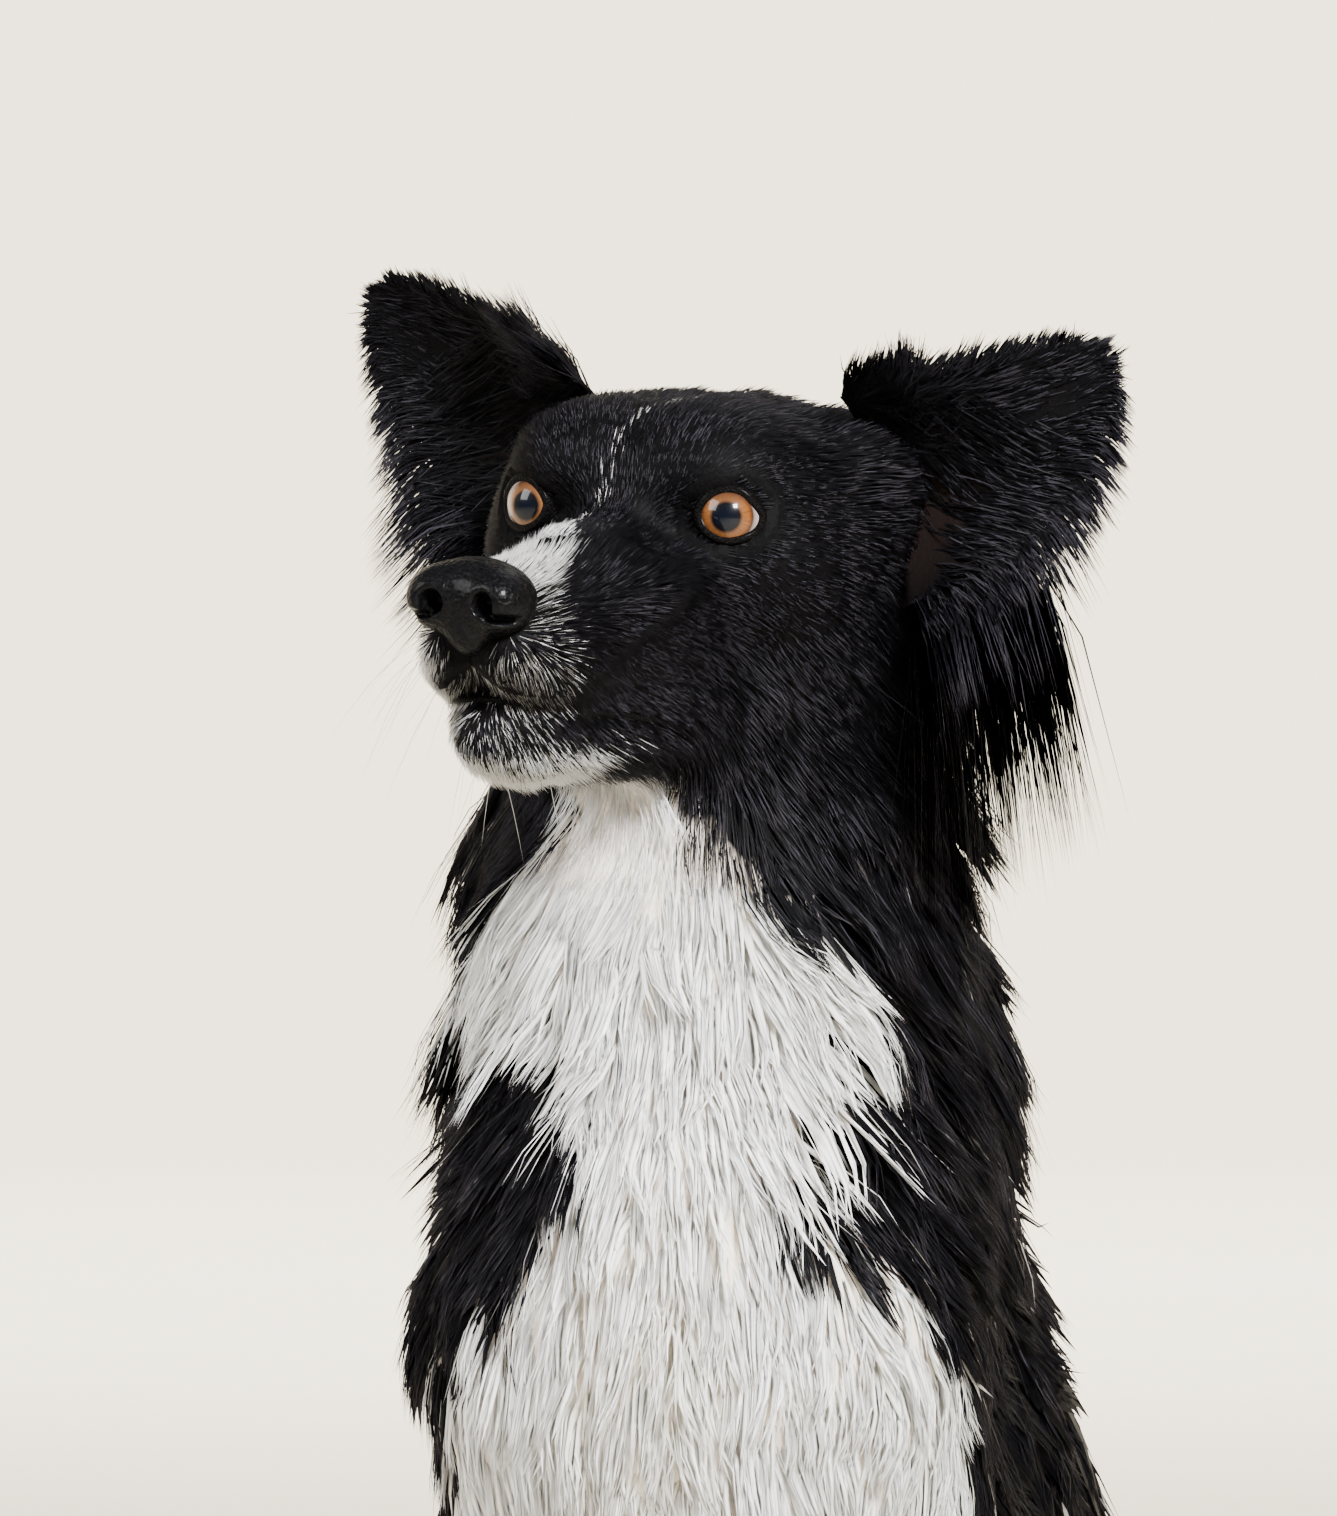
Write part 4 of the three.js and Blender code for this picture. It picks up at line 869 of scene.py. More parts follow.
def guide_table():
    rows = []
    for flip in (1, -1):
        body, head = np.array(BODY_GUIDES, float), np.array(HEAD_GUIDES, float)
        for guides in (body, head):
            guides[:, [0, 3]] *= flip
        head[:, :3] = from_head(head[:, :3])
        head[:, 3:6] = head_direction(head[:, 3:6])
        rows += [body, head]
    for n, ((a, _), (b, _)) in enumerate(zip(TAIL, TAIL[1:])):
        a, b = np.array(a, float), np.array(b, float)
        along = unit(b - a)
        across = unit(np.cross(along, (0, 0, 1)))
        up = np.cross(across, along)
        for angle in np.radians(range(0, 360, 60)):
            out = across * math.cos(angle) + up * math.sin(angle)
            lie = along + 0.40 * out - (0, 0, 0.12)
            rows.append([[*((a + b) / 2 + 14 * out), *lie, TAIL_HAIR + 8 * n, 0.30, 1.1, 2.4, 10]])
    table = np.concatenate(rows)
    table[:, 3:6] = unit(table[:, 3:6])
    return table


GUIDES = guide_table()
GUIDE_SOFTNESS = 7.0  # closer than this, two guides count about alike


def guided(p, columns):
    """The guides' columns at points, weighted by nearness."""
    out = np.empty((len(p), len(range(*columns.indices(GUIDES.shape[1])))))
    for start in range(0, len(p), 20000):
        part = p[start : start + 20000]
        gap = ((part[:, None, :] - GUIDES[None, :, :3]) ** 2).sum(axis=2)
        weight = (gap + GUIDE_SOFTNESS**2) ** -2.2
        weight /= weight.sum(axis=1, keepdims=True)
        out[start : start + 20000] = weight @ GUIDES[:, columns]
    return out


LIE, SIZES = slice(3, 6), slice(6, 11)


def roots_on(points, triangles, rng):
    """Random roots on a mesh, as close as the guides' spacing asks."""
    a, b, c = (points[triangles[:, m]] for m in range(3))
    area = norm(np.cross(b - a, c - a)) / 2
    spacing = guided((a + b + c) / 3, SIZES)[:, 3]
    wanted = area / spacing**2 * THIN
    number = np.floor(wanted + rng.random(len(area))).astype(int)
    which = np.repeat(np.arange(len(area)), number)
    u, w = rng.random((2, len(which)))
    over = u + w > 1
    u[over], w[over] = 1 - u[over], 1 - w[over]
    return a[which] + u[:, None] * (b - a)[which] + w[:, None] * (c - a)[which]


def clump_of(p, size, rng):
    """A clump number for each root: roots in one cell of a wobbling lattice belong together."""
    wobble = np.stack([ripple(p[:, order], 6) for order in ([0, 1, 2], [1, 2, 0], [2, 0, 1])], axis=1)
    step = np.exp(np.round(np.log(size) * 2) / 2)
    cell = np.floor((p + 0.35 * size[:, None] * wobble) / step[:, None] + rng.random(3)).astype(np.int64)
    layer = np.round(step * 10).astype(np.int64)
    key = ((layer * 4001 + cell[:, 0]) * 4001 + cell[:, 1]) * 4001 + cell[:, 2]
    return np.unique(key, return_inverse=True)[1].ravel()


def clump_middle(points, clump):
    """For each point, the middle of its clump."""
    total = np.stack([np.bincount(clump, points[:, m]) for m in range(3)], axis=1)
    return (total / np.bincount(clump)[:, None])[clump]


def gather(path, clump, pull):
    """Draws each hair of a clump towards the clump's middle, by `pull` at each station."""
    for k, share in enumerate(pull):
        path[:, k] += (clump_middle(path[:, k], clump) - path[:, k]) * share[:, None]
    return path


RISE = 1.8  # a hair leaves the skin this much steeper than its tip's height asks
SWIRL = 1.15  # how far neighbouring long hairs swing together from the guides' lie, in radians
BEND = 0.42  # how far the hairs of one clump bend, in radians
STRAY = 0.3  # how far a clump of long hairs turns from its neighbours, in radians
WILD = (14, 45)  # hairs swing freely as their length goes from the first to the second
TAIL_FREE = (250, 270)  # behind here, hair may stand off the flesh as its guides ask


def draped(root, length, lift, clump, stations, rng):
    """Paths of hairs that start at the roots and lie over the flesh at the height that the guides ask."""
    number = clump.max() + 1
    wild = ease(length, *WILD)
    bend = (BEND * rng.standard_normal(number))[clump] * (0.4 + wild)
    bend = bend + 0.05 * rng.standard_normal(len(root))
    swirl = SWIRL * wild * (ripple(root, 30) + 0.8 * ripple(root, 12))
    stray = (STRAY * rng.standard_normal(number))[clump] * wild
    _, normal = slope(flesh, root)
    facing = [normal]
    path = [root - normal * np.minimum(2.5, 0.1 * length)[:, None]]
    here, last = root, 0.0
    for t in stations[1:]:
        lie = guided(here, LIE)
        free = ease(here[:, 1], *TAIL_FREE)
        away = (lie * normal).sum(axis=1)
        lie = unit(lie - (away - free * np.maximum(away, 0))[:, None] * normal)
        turn = stray + bend * math.sin(4.6 * t + 0.2) + swirl * math.sin(4.4 * t)
        lie = unit(lie + np.cross(normal, lie) * turn[:, None])
        here = here + lie * (length * (t - last))[:, None]
        d, normal = slope(flesh, here)
        height = length * lift * (RISE * t - (RISE - 1) * t * t)
        step = length * (t - last)
        last = t
        here = here + normal * np.clip(height - d, -0.3 * step * (1 - free), 0.8 * step)[:, None]
        path.append(here)
        facing.append(normal)
    path = np.stack(path, axis=1)
    for _ in range(2):
        path[:, 1:-1] = path[:, 1:-1] / 2 + (path[:, :-2] + path[:, 2:]) / 4
    return path, np.stack(facing, axis=1)


# Where along its length a hair of each kind has its points.
STATIONS = {
    "short": (0.0, 0.5, 1.0),
    "medium": (0.0, 0.36, 0.72, 1.0),
    "long": (0.0, 0.26, 0.52, 0.78, 1.0),
}
# By the number of a tuft's rings: the width of each, and how far the tuft's own shape turns its shading.
TAPER = {2: (0.8, 0.8), 3: (0.8, 1.0, 0.7), 4: (0.8, 1.0, 0.85, 0.5)}
ROUNDNESS = {2: 0.12, 3: 0.15, 4: 0.2}
PATCH = 0.003  # side of a tuft's patch on the baked image


def tuft_mesh(name, path, normal, width, mark, uv, rng):
    """One closed, three-sided, tapered tuft for each path, shaded by the normals of its stations.

    `uv` is each root's place for baking.
    """
    number, steps = path.shape[:2]
    rings = steps - 1
    taper = TAPER[rings]
    size = 3 * rings + 1
    points = np.empty((number, size, 3))
    across = np.zeros((number, size))
    along = np.ones((number, size))
    roll = rng.normal(0, 0.5, number)[:, None]
    flat = unit(np.cross(unit(path[:, 1] - path[:, 0]), normal[:, 0]))
    facing = np.repeat(normal[:, -1:], size, axis=1)
    for k in range(rings):
        ahead = unit(path[:, k + 1] - path[:, k])
        side = unit(flat - (flat * ahead).sum(axis=1, keepdims=True) * ahead)
        up = np.cross(side, ahead)
        side, up = side * np.cos(roll) + up * np.sin(roll), up * np.cos(roll) - side * np.sin(roll)
        half = (width * taper[k] / 2)[:, None]
        corners = (-side - 0.35 * up, 0.7 * up, side - 0.35 * up)
        for i, corner in enumerate(corners):
            points[:, 3 * k + i] = path[:, k] + corner * half
            facing[:, 3 * k + i] = lerp(normal[:, k], unit(corner), ROUNDNESS[rings])
        across[:, 3 * k : 3 * k + 3] = (-1, 0, 1)
        along[:, 3 * k : 3 * k + 3] = k / rings
    points[:, -1] = path[:, -1]
    faces = [(0, 2, 1)]
    for k in range(rings - 1):
        for i in range(3):
            a, b = 3 * k + i, 3 * k + (i + 1) % 3
            faces += [(a, b, a + 3), (b, b + 3, a + 3)]
    last = 3 * (rings - 1)
    faces += [(last + i, last + (i + 1) % 3, last + 3) for i in range(3)]
    faces = (np.array(faces) + np.arange(number)[:, None, None] * size).reshape(-1, 3)
    mesh = mesh_of(name, points.reshape(-1, 3), faces)
    set_attribute(mesh, "custom_normal", "FLOAT_VECTOR", unit(facing))
    colour = np.repeat(mark[:, None, :], size, axis=1)
    colour[:, :, 2] = along
    set_attribute(mesh, "mark", "FLOAT_COLOR", colour)
    seed = rng.random(number)[:, None] * 60
    reach = norm(path[:, -1] - path[:, 0])[:, None]
    strand = (across * width[:, None] * 1.2 + seed, along * reach * 0.05, seed + 0 * along)
    set_attribute(mesh, "strand", "FLOAT_VECTOR", np.stack(strand, axis=2))
    patch = np.stack([across * 0.5, along - 0.5], axis=2) * PATCH + uv[:, None, :]
    layer = mesh.uv_layers.new(name="OFBake")
    layer.data.foreach_set("uv", patch.reshape(-1, 2)[faces.ravel()].astype(np.float32).ravel())
    return mesh


def unwrap(p, start, end):
    """A place on the skin round the axis from start to end, unrolled to a square."""
    start, end = np.array(start, float), np.array(end, float)
    axis = end - start
    along = unit(axis)
    seam = unit(np.cross(along, (1, 0.2, 0.1)))
    q = p - start
    height = q @ axis / (axis @ axis)
    angle = np.arctan2(q @ np.cross(along, seam), q @ seam) / (2 * math.pi) + 0.5
    low, high = height.min(), height.max()
    return 0.01 + 0.98 * np.stack([angle, (height - low) / max(high - low, 1e-6)], axis=1)


# Each coat piece: its name, its hairs' kind, and the axis that its skin is unrolled round for baking.
COAT_PIECES = [
    ("coat_face", "short", from_head((0, -40, -30)), from_head((0, 90, -30))),
    ("coat_head", "short", from_head((0, -120, -20)), from_head((0, 90, -20))),
    ("coat_bib_upper", "medium", (0, -90, 540), (0, -90, 440)),
    ("coat_bib_lower", "medium", (0, -90, 440), (0, -80, 262)),
    ("coat_neck_left", "long", (0, -86, 600), (0, -60, 400)),
    ("coat_neck_right", "long", (0, -86, 600), (0, -60, 400)),
    ("coat_shoulders", "medium", (0, -60, 420), (0, -20, 262)),
    ("coat_back", "medium", (0, -20, 420), (0, 220, 60)),
    ("coat_haunches", "short", (0, 130, 220), (0, 130, 0)),
    ("coat_legs", "short", (0, -60, 262), (0, -60, 0)),
    ("coat_tail", "medium", (0, 246, 30), (200, 350, 10)),
]


def coat_regions(p):
    """The number of the coat piece that each root belongs to."""
    x, y, z = p.T
    q = to_head(p)
    head = (q[:, 2] + 0.9 * q[:, 1] > -92) & (norm(q - (0, 0, -10)) < 130) & (z > 500)
    front = (y < -84) & (z > 262)
    tests = {
        "coat_tail": y > 258,
        "coat_face": head & (q[:, 1] > 6),
        "coat_head": head,
        "coat_bib_upper": front & (z > 440),
        "coat_bib_lower": front,
        "coat_neck_left": (z > 410) & (x >= 0),
        "coat_neck_right": z > 410,
        "coat_legs": ((z < 262) & (y < -20)) | ((z < 60) & (np.abs(x) > 52) & (y < 205)),
        "coat_haunches": (y > 34) & (np.abs(x) > 44) & (z < 215),
        "coat_shoulders": (y <= 20) & (z > 262),
    }
    region = np.full(len(p), -1)
    numbers = {piece[0]: number for number, piece in enumerate(COAT_PIECES)}
    for name, chosen in tests.items():
        region[chosen & (region < 0)] = numbers[name]
    region[region < 0] = numbers["coat_back"]
    return region


def bare(p):
    """Where no hair grows: nose, lid rims, eyes and the line of the mouth."""
    q = to_head(p)
    hidden = nose_field(q) < 0.1
    for sign in (-1, 1):
        reach, turn, rim = eye_polar(q, sign)
        hidden |= (reach < EYE_RADIUS + 5) & (turn < rim + 0.07)
    near = norm(q - (0, 50, -50)) < 60
    close = np.zeros(len(p), bool)
    close[near] = groove_distance(q[near]) < 0.8
    return hidden | close


# Some of the long hairs lie under the others as broad locks: their share, how much broader they are,
# their lift, and the height above which they grow.
UNDERCOAT, UNDER_WIDTH, UNDER_LIFT, UNDER_FROM = 0.4, 4.4, 0.7, 80
LOCK_ROUNDNESS = 0.4  # how far a lock's own shape turns the shading of its hairs
WHITE_WIDTH = 0.58  # width of the face's white hairs, as a share of the black ones'
ROOTS_FROM = 2.5  # nearer to the floor than this no hair grows
HAIR_CLEAR = FLOOR_CLEAR + 0.6  # and no hair's path comes nearer to it than this
SHORT_TIGHT = 0.4  # how tightly clumps of short hair draw together, as a share of long hair's
SHORT_ROUND = 0.3  # and how round they are
THIN = 0.97  # share of the hairs that are made
WIDEN = THIN**-0.4  # fewer hairs are made wider


def marked(white, clump, cream, rng):
    """Each hair's white, shade and cream, for its material."""
    shade = 0.6 * rng.random(clump.max() + 1)[clump] + 0.4 * rng.random(len(clump))
    return np.stack([white, shade, shade, cream], axis=1)


def rounding(root, clump, size):
    """How a lock's own roundness turns the shading of its hairs away from its middle."""
    return np.clip((root - clump_middle(root, clump)) / size[:, None], -1, 1) * LOCK_ROUNDNESS


def whiteness(root, on_face, rng):
    """How white each hair is: mostly all or nothing, and greying on the face where white is rare."""
    chance = white_at(root)
    if not on_face:
        return ease(chance + rng.normal(0, 0.12, len(root)), 0.25, 0.75)
    speckled = (rng.random(len(root)) < chance) * rng.uniform(0.03, 0.26, len(root))
    solid = np.clip(chance + rng.normal(0, 0.1, len(root)), 0, 1)
    return lerp(speckled, solid, ease(chance, 0.5, 0.8))


def add_coat(points, triangles):
    rng = np.random.default_rng(21)
    roots = roots_on(points, triangles, rng)
    roots = roots[~bare(roots) & (roots[:, 2] > ROOTS_FROM)]
    region = coat_regions(roots)
    for number, (name, kind, start, end) in enumerate(COAT_PIECES):
        rng = np.random.default_rng(100 + number)
        short = kind == "short"
        root = roots[region == number]
        length, lift, width, _, size = guided(root, SIZES).T
        big, small = clump_of(root, 1.7 * size, rng), clump_of(root, 0.6 * size, rng)
        groups = big.max() + 1
        vary = rng.uniform(0.75, 1.12, len(root))
        length = length * vary * rng.normal(1, 0.12, groups)[big].clip(0.7, 1.3)
        vary = rng.uniform(0.6, 1.15, len(root))
        lift = lift * vary * rng.normal(1, 0.2 if short else 0.42, groups)[big].clip(0.4, 2.1)
        if not short:
            under = (rng.random(len(root)) < UNDERCOAT) & (root[:, 2] > UNDER_FROM)
            width = np.where(under, UNDER_WIDTH, 1) * width
            lift = np.where(under, UNDER_LIFT, 1) * lift
        path, normal = draped(root, length, lift, big, STATIONS[kind], rng)
        tight = SHORT_TIGHT if short else 1.0
        for clump, most in ((big, 0.7), (small, 0.65)):
            pull = rng.uniform(0.3, most, clump.max() + 1)[clump] * rng.uniform(0.8, 1.1, len(root)) * tight
            path = gather(path, clump, [pull * t**1.2 for t in STATIONS[kind]])
        path[:, -1] += rng.normal(0, 0.025, (len(root), 3)) * length[:, None]
        path[:, :, 2] = np.maximum(path[:, :, 2], HAIR_CLEAR)
        normal = unit(normal + rounding(root, big, size)[:, None] * (SHORT_ROUND if short else 1))
        on_face = name in ("coat_face", "coat_head")
        white = whiteness(root, on_face, rng)
        if on_face:
            width = width * np.where(white > 0, WHITE_WIDTH, 1)
        mark = marked(white, big, cream_at(root), rng)
        width = width * rng.uniform(0.7, 1.25, len(root)) * WIDEN
        mesh = tuft_mesh(name, path, normal, width, mark, unwrap(root, start, end), rng)
        new_object(name, mesh, COAT)


def cream_at(p):
    """Where white hair is creamy: a little all over, and more down the middle of the lower bib and between
    the legs.
    """
    x, _, z = p.T
    middle = ease(30 - np.abs(x), 0, 22) * ease(-z, -430, -380)
    return np.clip(0.12 + 0.5 * middle + 0.2 * ripple(p, 14), 0, 1)


# ---------------------------------------------------------------- nose


def nose_field(p):
    shapes = [
        Egg((0, 91, -22.5), (16.4, 11, 10.5), k=4),
        *pair(Egg, (9.4, 96, -23), (7.2, 8, 7.6), k=4),
        Egg((0, 93, -31.5), (5.5, 7, 6), k=5),
    ]
    cuts = [
        *pair(Egg, (7.4, 105, -24), (3.3, 9, 3.5), k=1.5),
        *pair(Egg, (13.4, 101, -27.5), (5.5, 5, 1.3), k=1.5),
        Egg((0, 106, -32), (1.2, 4, 13), k=2),
    ]
    return np.maximum(joined(shapes, p, cuts), 80 - p[:, 1])


def add_nose():
    points, quads = surface_net(nose_field, (-24, 78, -50), (24, 112, -4), 0.55)
    nose = new_object("nose_leather", mesh_of("nose_leather", from_head(points), quads), NOSE)
    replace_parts(nose, "nose")


# ---------------------------------------------------------------- eyes and lids

# How far each eye looks out from straight ahead: both look towards the dog's left.
GAZE = {"left": math.radians(19), "right": math.radians(5)}
GAZE_DOWN = math.radians(3)
CORNEA_HEIGHT = 0.9
CORNEA_EDGE = 0.72  # in radians from the pupil's middle


def add_eye(side, sign):
    """An eyeball with a cornea that stands proud over the iris."""
    around, rings = 96, 72
    polar = np.linspace(0, math.pi, rings + 1)
    turn = np.linspace(0, 2 * math.pi, around, endpoint=False)
    r, t = np.meshgrid(polar, turn, indexing="ij")
    bulge = CORNEA_HEIGHT * np.clip(1 - (r / CORNEA_EDGE) ** 2, 0, 1) ** 1.5
    size = EYE_RADIUS + bulge
    local = np.stack([np.sin(r) * np.cos(t), np.cos(r), np.sin(r) * np.sin(t)], axis=2) * size[:, :, None]
    look = eye_frame(sign, GAZE[side]) @ np.array(Matrix.Rotation(-GAZE_DOWN, 3, "X"))
    local = local.reshape(-1, 3) @ look.T + (sign * EYE_AT, 0, 0)
    name = f"eyeball_{side}"
    mesh = mesh_of(name, from_head(local), ring_quads(rings + 1, around))
    reach = np.sin(np.minimum(r, math.pi / 2)) * EYE_RADIUS + np.maximum(r - math.pi / 2, 0) * EYE_RADIUS
    set_attribute(mesh, "polar", "FLOAT_VECTOR", np.stack([reach, np.cos(t), np.sin(t)], axis=2))
    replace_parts(new_object(name, mesh, EYE), f"eye_{side}")


# The rim's section: how far beyond the opening's edge, in radians, and how high above the eyeball.
RIM = [
    *((-0.03, 0.0), (-0.01, 0.45), (0.03, 0.95), (0.08, 1.2)),
    *((0.13, 1.15), (0.18, 0.8), (0.26, 0.35), (0.5, 0.2)),
]


def add_lids(side, sign):
    """A rim of dark skin round the eyeball, rolled in to touch it."""
    around = 128
    direction = np.linspace(0, 2 * math.pi, around, endpoint=False)
    angle = rim_angle(direction, sign)
    rows = []
    for extra, height in RIM:
        a = angle + extra
        row = np.stack([np.sin(a) * np.cos(direction), np.cos(a), np.sin(a) * np.sin(direction)], axis=1)
        rows.append(row * (EYE_RADIUS + height))
    local = np.concatenate(rows) @ eye_frame(sign).T + (sign * EYE_AT, 0, 0)
    name = f"lids_{side}"
    quads = ring_quads(len(RIM), around)[:, ::-1]
    new_object(name, mesh_of(name, from_head(local), quads), LID)


# ---------------------------------------------------------------- ears

EARS = {
    "right": ((46, -47, 9), (83, -54, 30), (115, -60, 55), (0.3, 0.95, -0.1)),
    "left": ((-50, -47, 6), (-84, -54, 18), (-105, -62, 47), (-0.3, 0.95, -0.1)),
}
EAR_HALF_WIDTH = 29
EAR_LENGTH = 105


def ear_points(side, t, s):
    """Points of the ear's middle sheet in the head's frame, and its facing: t to the tip, s across."""
    root, bend, tip, ahead = (np.array(v, float) for v in EARS[side])
    t, s = np.asarray(t, float)[:, None], np.asarray(s, float)[:, None]
    spine = (1 - t) ** 2 * root + 2 * t * (1 - t) * bend + t**2 * tip
    along = unit(2 * (1 - t) * (bend - root) + 2 * t * (tip - bend))
    facing = unit(ahead - along * (along @ ahead)[:, None])
    across = unit(np.cross(along, facing))
    across = np.where(across[:, 2:] > 0, -across, across)
    half = EAR_HALF_WIDTH * np.clip(1 - t, 0, 1) ** 0.62 * (1 + 0.3 * t) + 0.8
    cup = lerp(1.2, 0.3, np.minimum(1, t * 1.2))
    point = spine + across * (half * np.sin(s * cup) / np.sin(cup))
    point = point + facing * (half * (1 - np.cos(s * cup)) / np.sin(cup) - 9 * (1 - t))
    return point, facing, along, across


def add_ear(side):
    rows, columns = 40, 28
    t, s = np.meshgrid(np.linspace(0, 1, rows + 1), np.linspace(-1, 1, columns + 1), indexing="ij")
    middle, facing, _, _ = ear_points(side, t.ravel(), s.ravel())
    thick = (lerp(2.0, 0.9, t) * (1 - 0.6 * s**6)).ravel()[:, None]
    points = np.concatenate([middle + facing * thick, middle - facing * thick])
    index = np.arange((rows + 1) * (columns + 1)).reshape(rows + 1, columns + 1)
    quads = np.stack([index[:-1, :-1], index[1:, :-1], index[1:, 1:], index[:-1, 1:]], axis=2).reshape(-1, 4)
    back = quads[:, ::-1] + len(middle)
    loop = np.concatenate([index[:-1, 0], index[-1, :-1], index[:0:-1, -1], index[0, :0:-1]])
    following = np.roll(loop, -1)
    edge = np.stack([loop, loop + len(middle), following + len(middle), following], axis=1)
    faces = np.concatenate([quads, back, edge])
    if side == "right":
        faces = faces[:, ::-1]
    name = f"ear_skin_{side}"
    mesh = mesh_of(name, from_head(points), faces)
    inside = np.concatenate([ease(0.5 - t.ravel(), 0, 0.3) * (1 - s.ravel() ** 2), 0 * t.ravel()])
    none = 0 * inside
    set_attribute(mesh, "mark", "FLOAT_COLOR", np.stack([none, inside, none, none + 1], axis=1))
    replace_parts(new_object(name, mesh, SKIN), f"ear_{side}")


# Hair of the ears: root area as t and s from and to, the face (1 in the cup, -1 on its back), spacing,
# length at the ear's root and tip, lie along the ear, across it and off it, and how far it hangs.
EAR_HAIR = [
    (0.00, 0.99, -0.97, 0.97, -1, 1.68, 15, 9, 1.0, 0.35, 0.16, 0),
    (0.00, 0.99, -0.97, -0.25, 1, 1.5, 24, 9, 1.0, 0.40, 0.20, 0),
    (0.40, 0.99, -0.50, 0.60, 1, 1.5, 16, 8, 1.0, 0.20, 0.15, 0),
    (0.08, 0.99, 0.30, 0.97, 1, 1.5, 24, 8, 0.7, 0.70, 0.20, 0.1),
    (0.00, 0.50, -0.95, -0.30, 1, 1.9, 44, 26, 0.6, 1.00, 0.30, 0.1),
    (0.05, 0.40, -0.20, 0.60, 1, 2.6, 30, 20, 0.7, 0.50, 0.20, 0.1),
    (0.00, 0.97, -1.00, -0.88, 1, 1.01, 20, 7, 0.8, -0.55, 0.10, 0),
    (0.00, 0.97, -1.00, -0.88, -1, 1.01, 20, 7, 0.8, -0.45, 0.10, 0),
    (0.00, 0.32, -1.00, -0.70, 1, 0.85, 28, 20, 0.3, -1.0, 0.10, 0),
    (0.00, 0.32, -1.00, -0.70, -1, 0.85, 28, 20, 0.3, -1.0, 0.10, 0),
    (0.02, 0.97, 0.86, 1.00, 1, 0.9, 36, 7, 0.35, 1.0, 0.05, 0.35),
    (0.02, 0.97, 0.86, 1.00, -1, 0.9, 40, 7, 0.30, 1.0, 0.12, 0.4),
    (0.00, 0.40, 0.40, 1.00, -1, 0.9, 60, 40, 0.05, 1.0, 0.20, 0.7),
]
# Share of their length that hanging hairs keep: the right ear stands freer of the ruff.
HANGING = {"left": 1.0, "right": 0.4}
EAR_HAIR_WIDTH = 0.55


def add_ear_hair(side):
    rng = np.random.default_rng(31 if side == "left" else 32)
    paths, normals, places, lengths = [], [], [], []
    for t0, t1, s0, s1, face, spacing, root_length, tip_length, lie_along, lie_across, off, hang in EAR_HAIR:
        area = (t1 - t0) * EAR_LENGTH * (s1 - s0) * EAR_HALF_WIDTH
        number = int(area / spacing**2 * THIN)
        t, s = rng.uniform(t0, t1, number), rng.uniform(s0, s1, number)
        point, facing, along, across = ear_points(side, t, s)
        cup = (s * lerp(1.2, 0.3, np.minimum(1, t * 1.2)))[:, None]
        sideways = across * np.cos(cup) + facing * np.sin(cup)
        normal = face * (facing * np.cos(cup) - across * np.sin(cup))
        lie = lie_along * along + lie_across * sideways + rng.normal(0, 0.13, (number, 3))
        lie = unit(lie + 0.25 * ripple(point, 16)[:, None] * sideways)
        length = lerp(root_length, tip_length, t) * rng.uniform(0.6, 1.15, number)
        if hang > 0.5:
            length *= HANGING[side]
        path = []
        for u in STATIONS["short"]:
            rise = off * (RISE * u - (RISE - 1) * u * u)
            step = lie * u + normal * rise + np.array((0, 0, -hang * u * u))
            path.append(point + normal * 0.6 + step * length[:, None])
        paths.append(np.stack(path, axis=1))
        normals.append(normal)
        places.append(np.stack([t, (s + 1) / 4 + (face > 0) / 2], axis=1))
        lengths.append(length)
    path, normal = np.concatenate(paths), np.concatenate(normals)
    uv = 0.01 + 0.98 * np.concatenate(places)
    length = np.concatenate(lengths)
    clump = clump_of(path[:, 0], 2.2 + 0.14 * length, rng)
    pull = rng.uniform(0.3, 0.75, clump.max() + 1)[clump] * rng.uniform(0.8, 1.1, len(path))
    path = gather(path, clump, [pull * u for u in STATIONS["short"]])
    mark = marked(np.zeros(len(path)), clump, np.zeros(len(path)), rng)
    width = EAR_HAIR_WIDTH * rng.uniform(0.7, 1.3, len(path)) * WIDEN
    name = f"coat_ear_{side}"
    facing = np.repeat(head_direction(normal)[:, None], path.shape[1], axis=1)
    mesh = tuft_mesh(name, from_head(path), facing, width, mark, uv, rng)
    new_object(name, mesh, COAT)


# ---------------------------------------------------------------- whiskers, lips, claws and pads

# Whiskers of the right side in the head's frame: middle of the patch, its spread, lie, number, length, white.
WHISKERS = [
    ((21, 74, -37), (2, 10, 5), (0.8, -0.4, -0.5), 9, 40, 0.15),
    ((24, 56, -40), (2, 8, 5), (0.8, -0.7, -0.5), 5, 46, 0.0),
    ((7, 76, -68), (6, 8, 1), (0.3, -0.1, -1.0), 5, 22, 0.7),
    ((24, 8, 20), (4, 2, 2), (0.5, 0.3, 0.8), 4, 12, 0.0),
    ((44, -12, -34), (2, 4, 4), (0.9, -0.5, -0.4), 2, 36, 0.0),
]


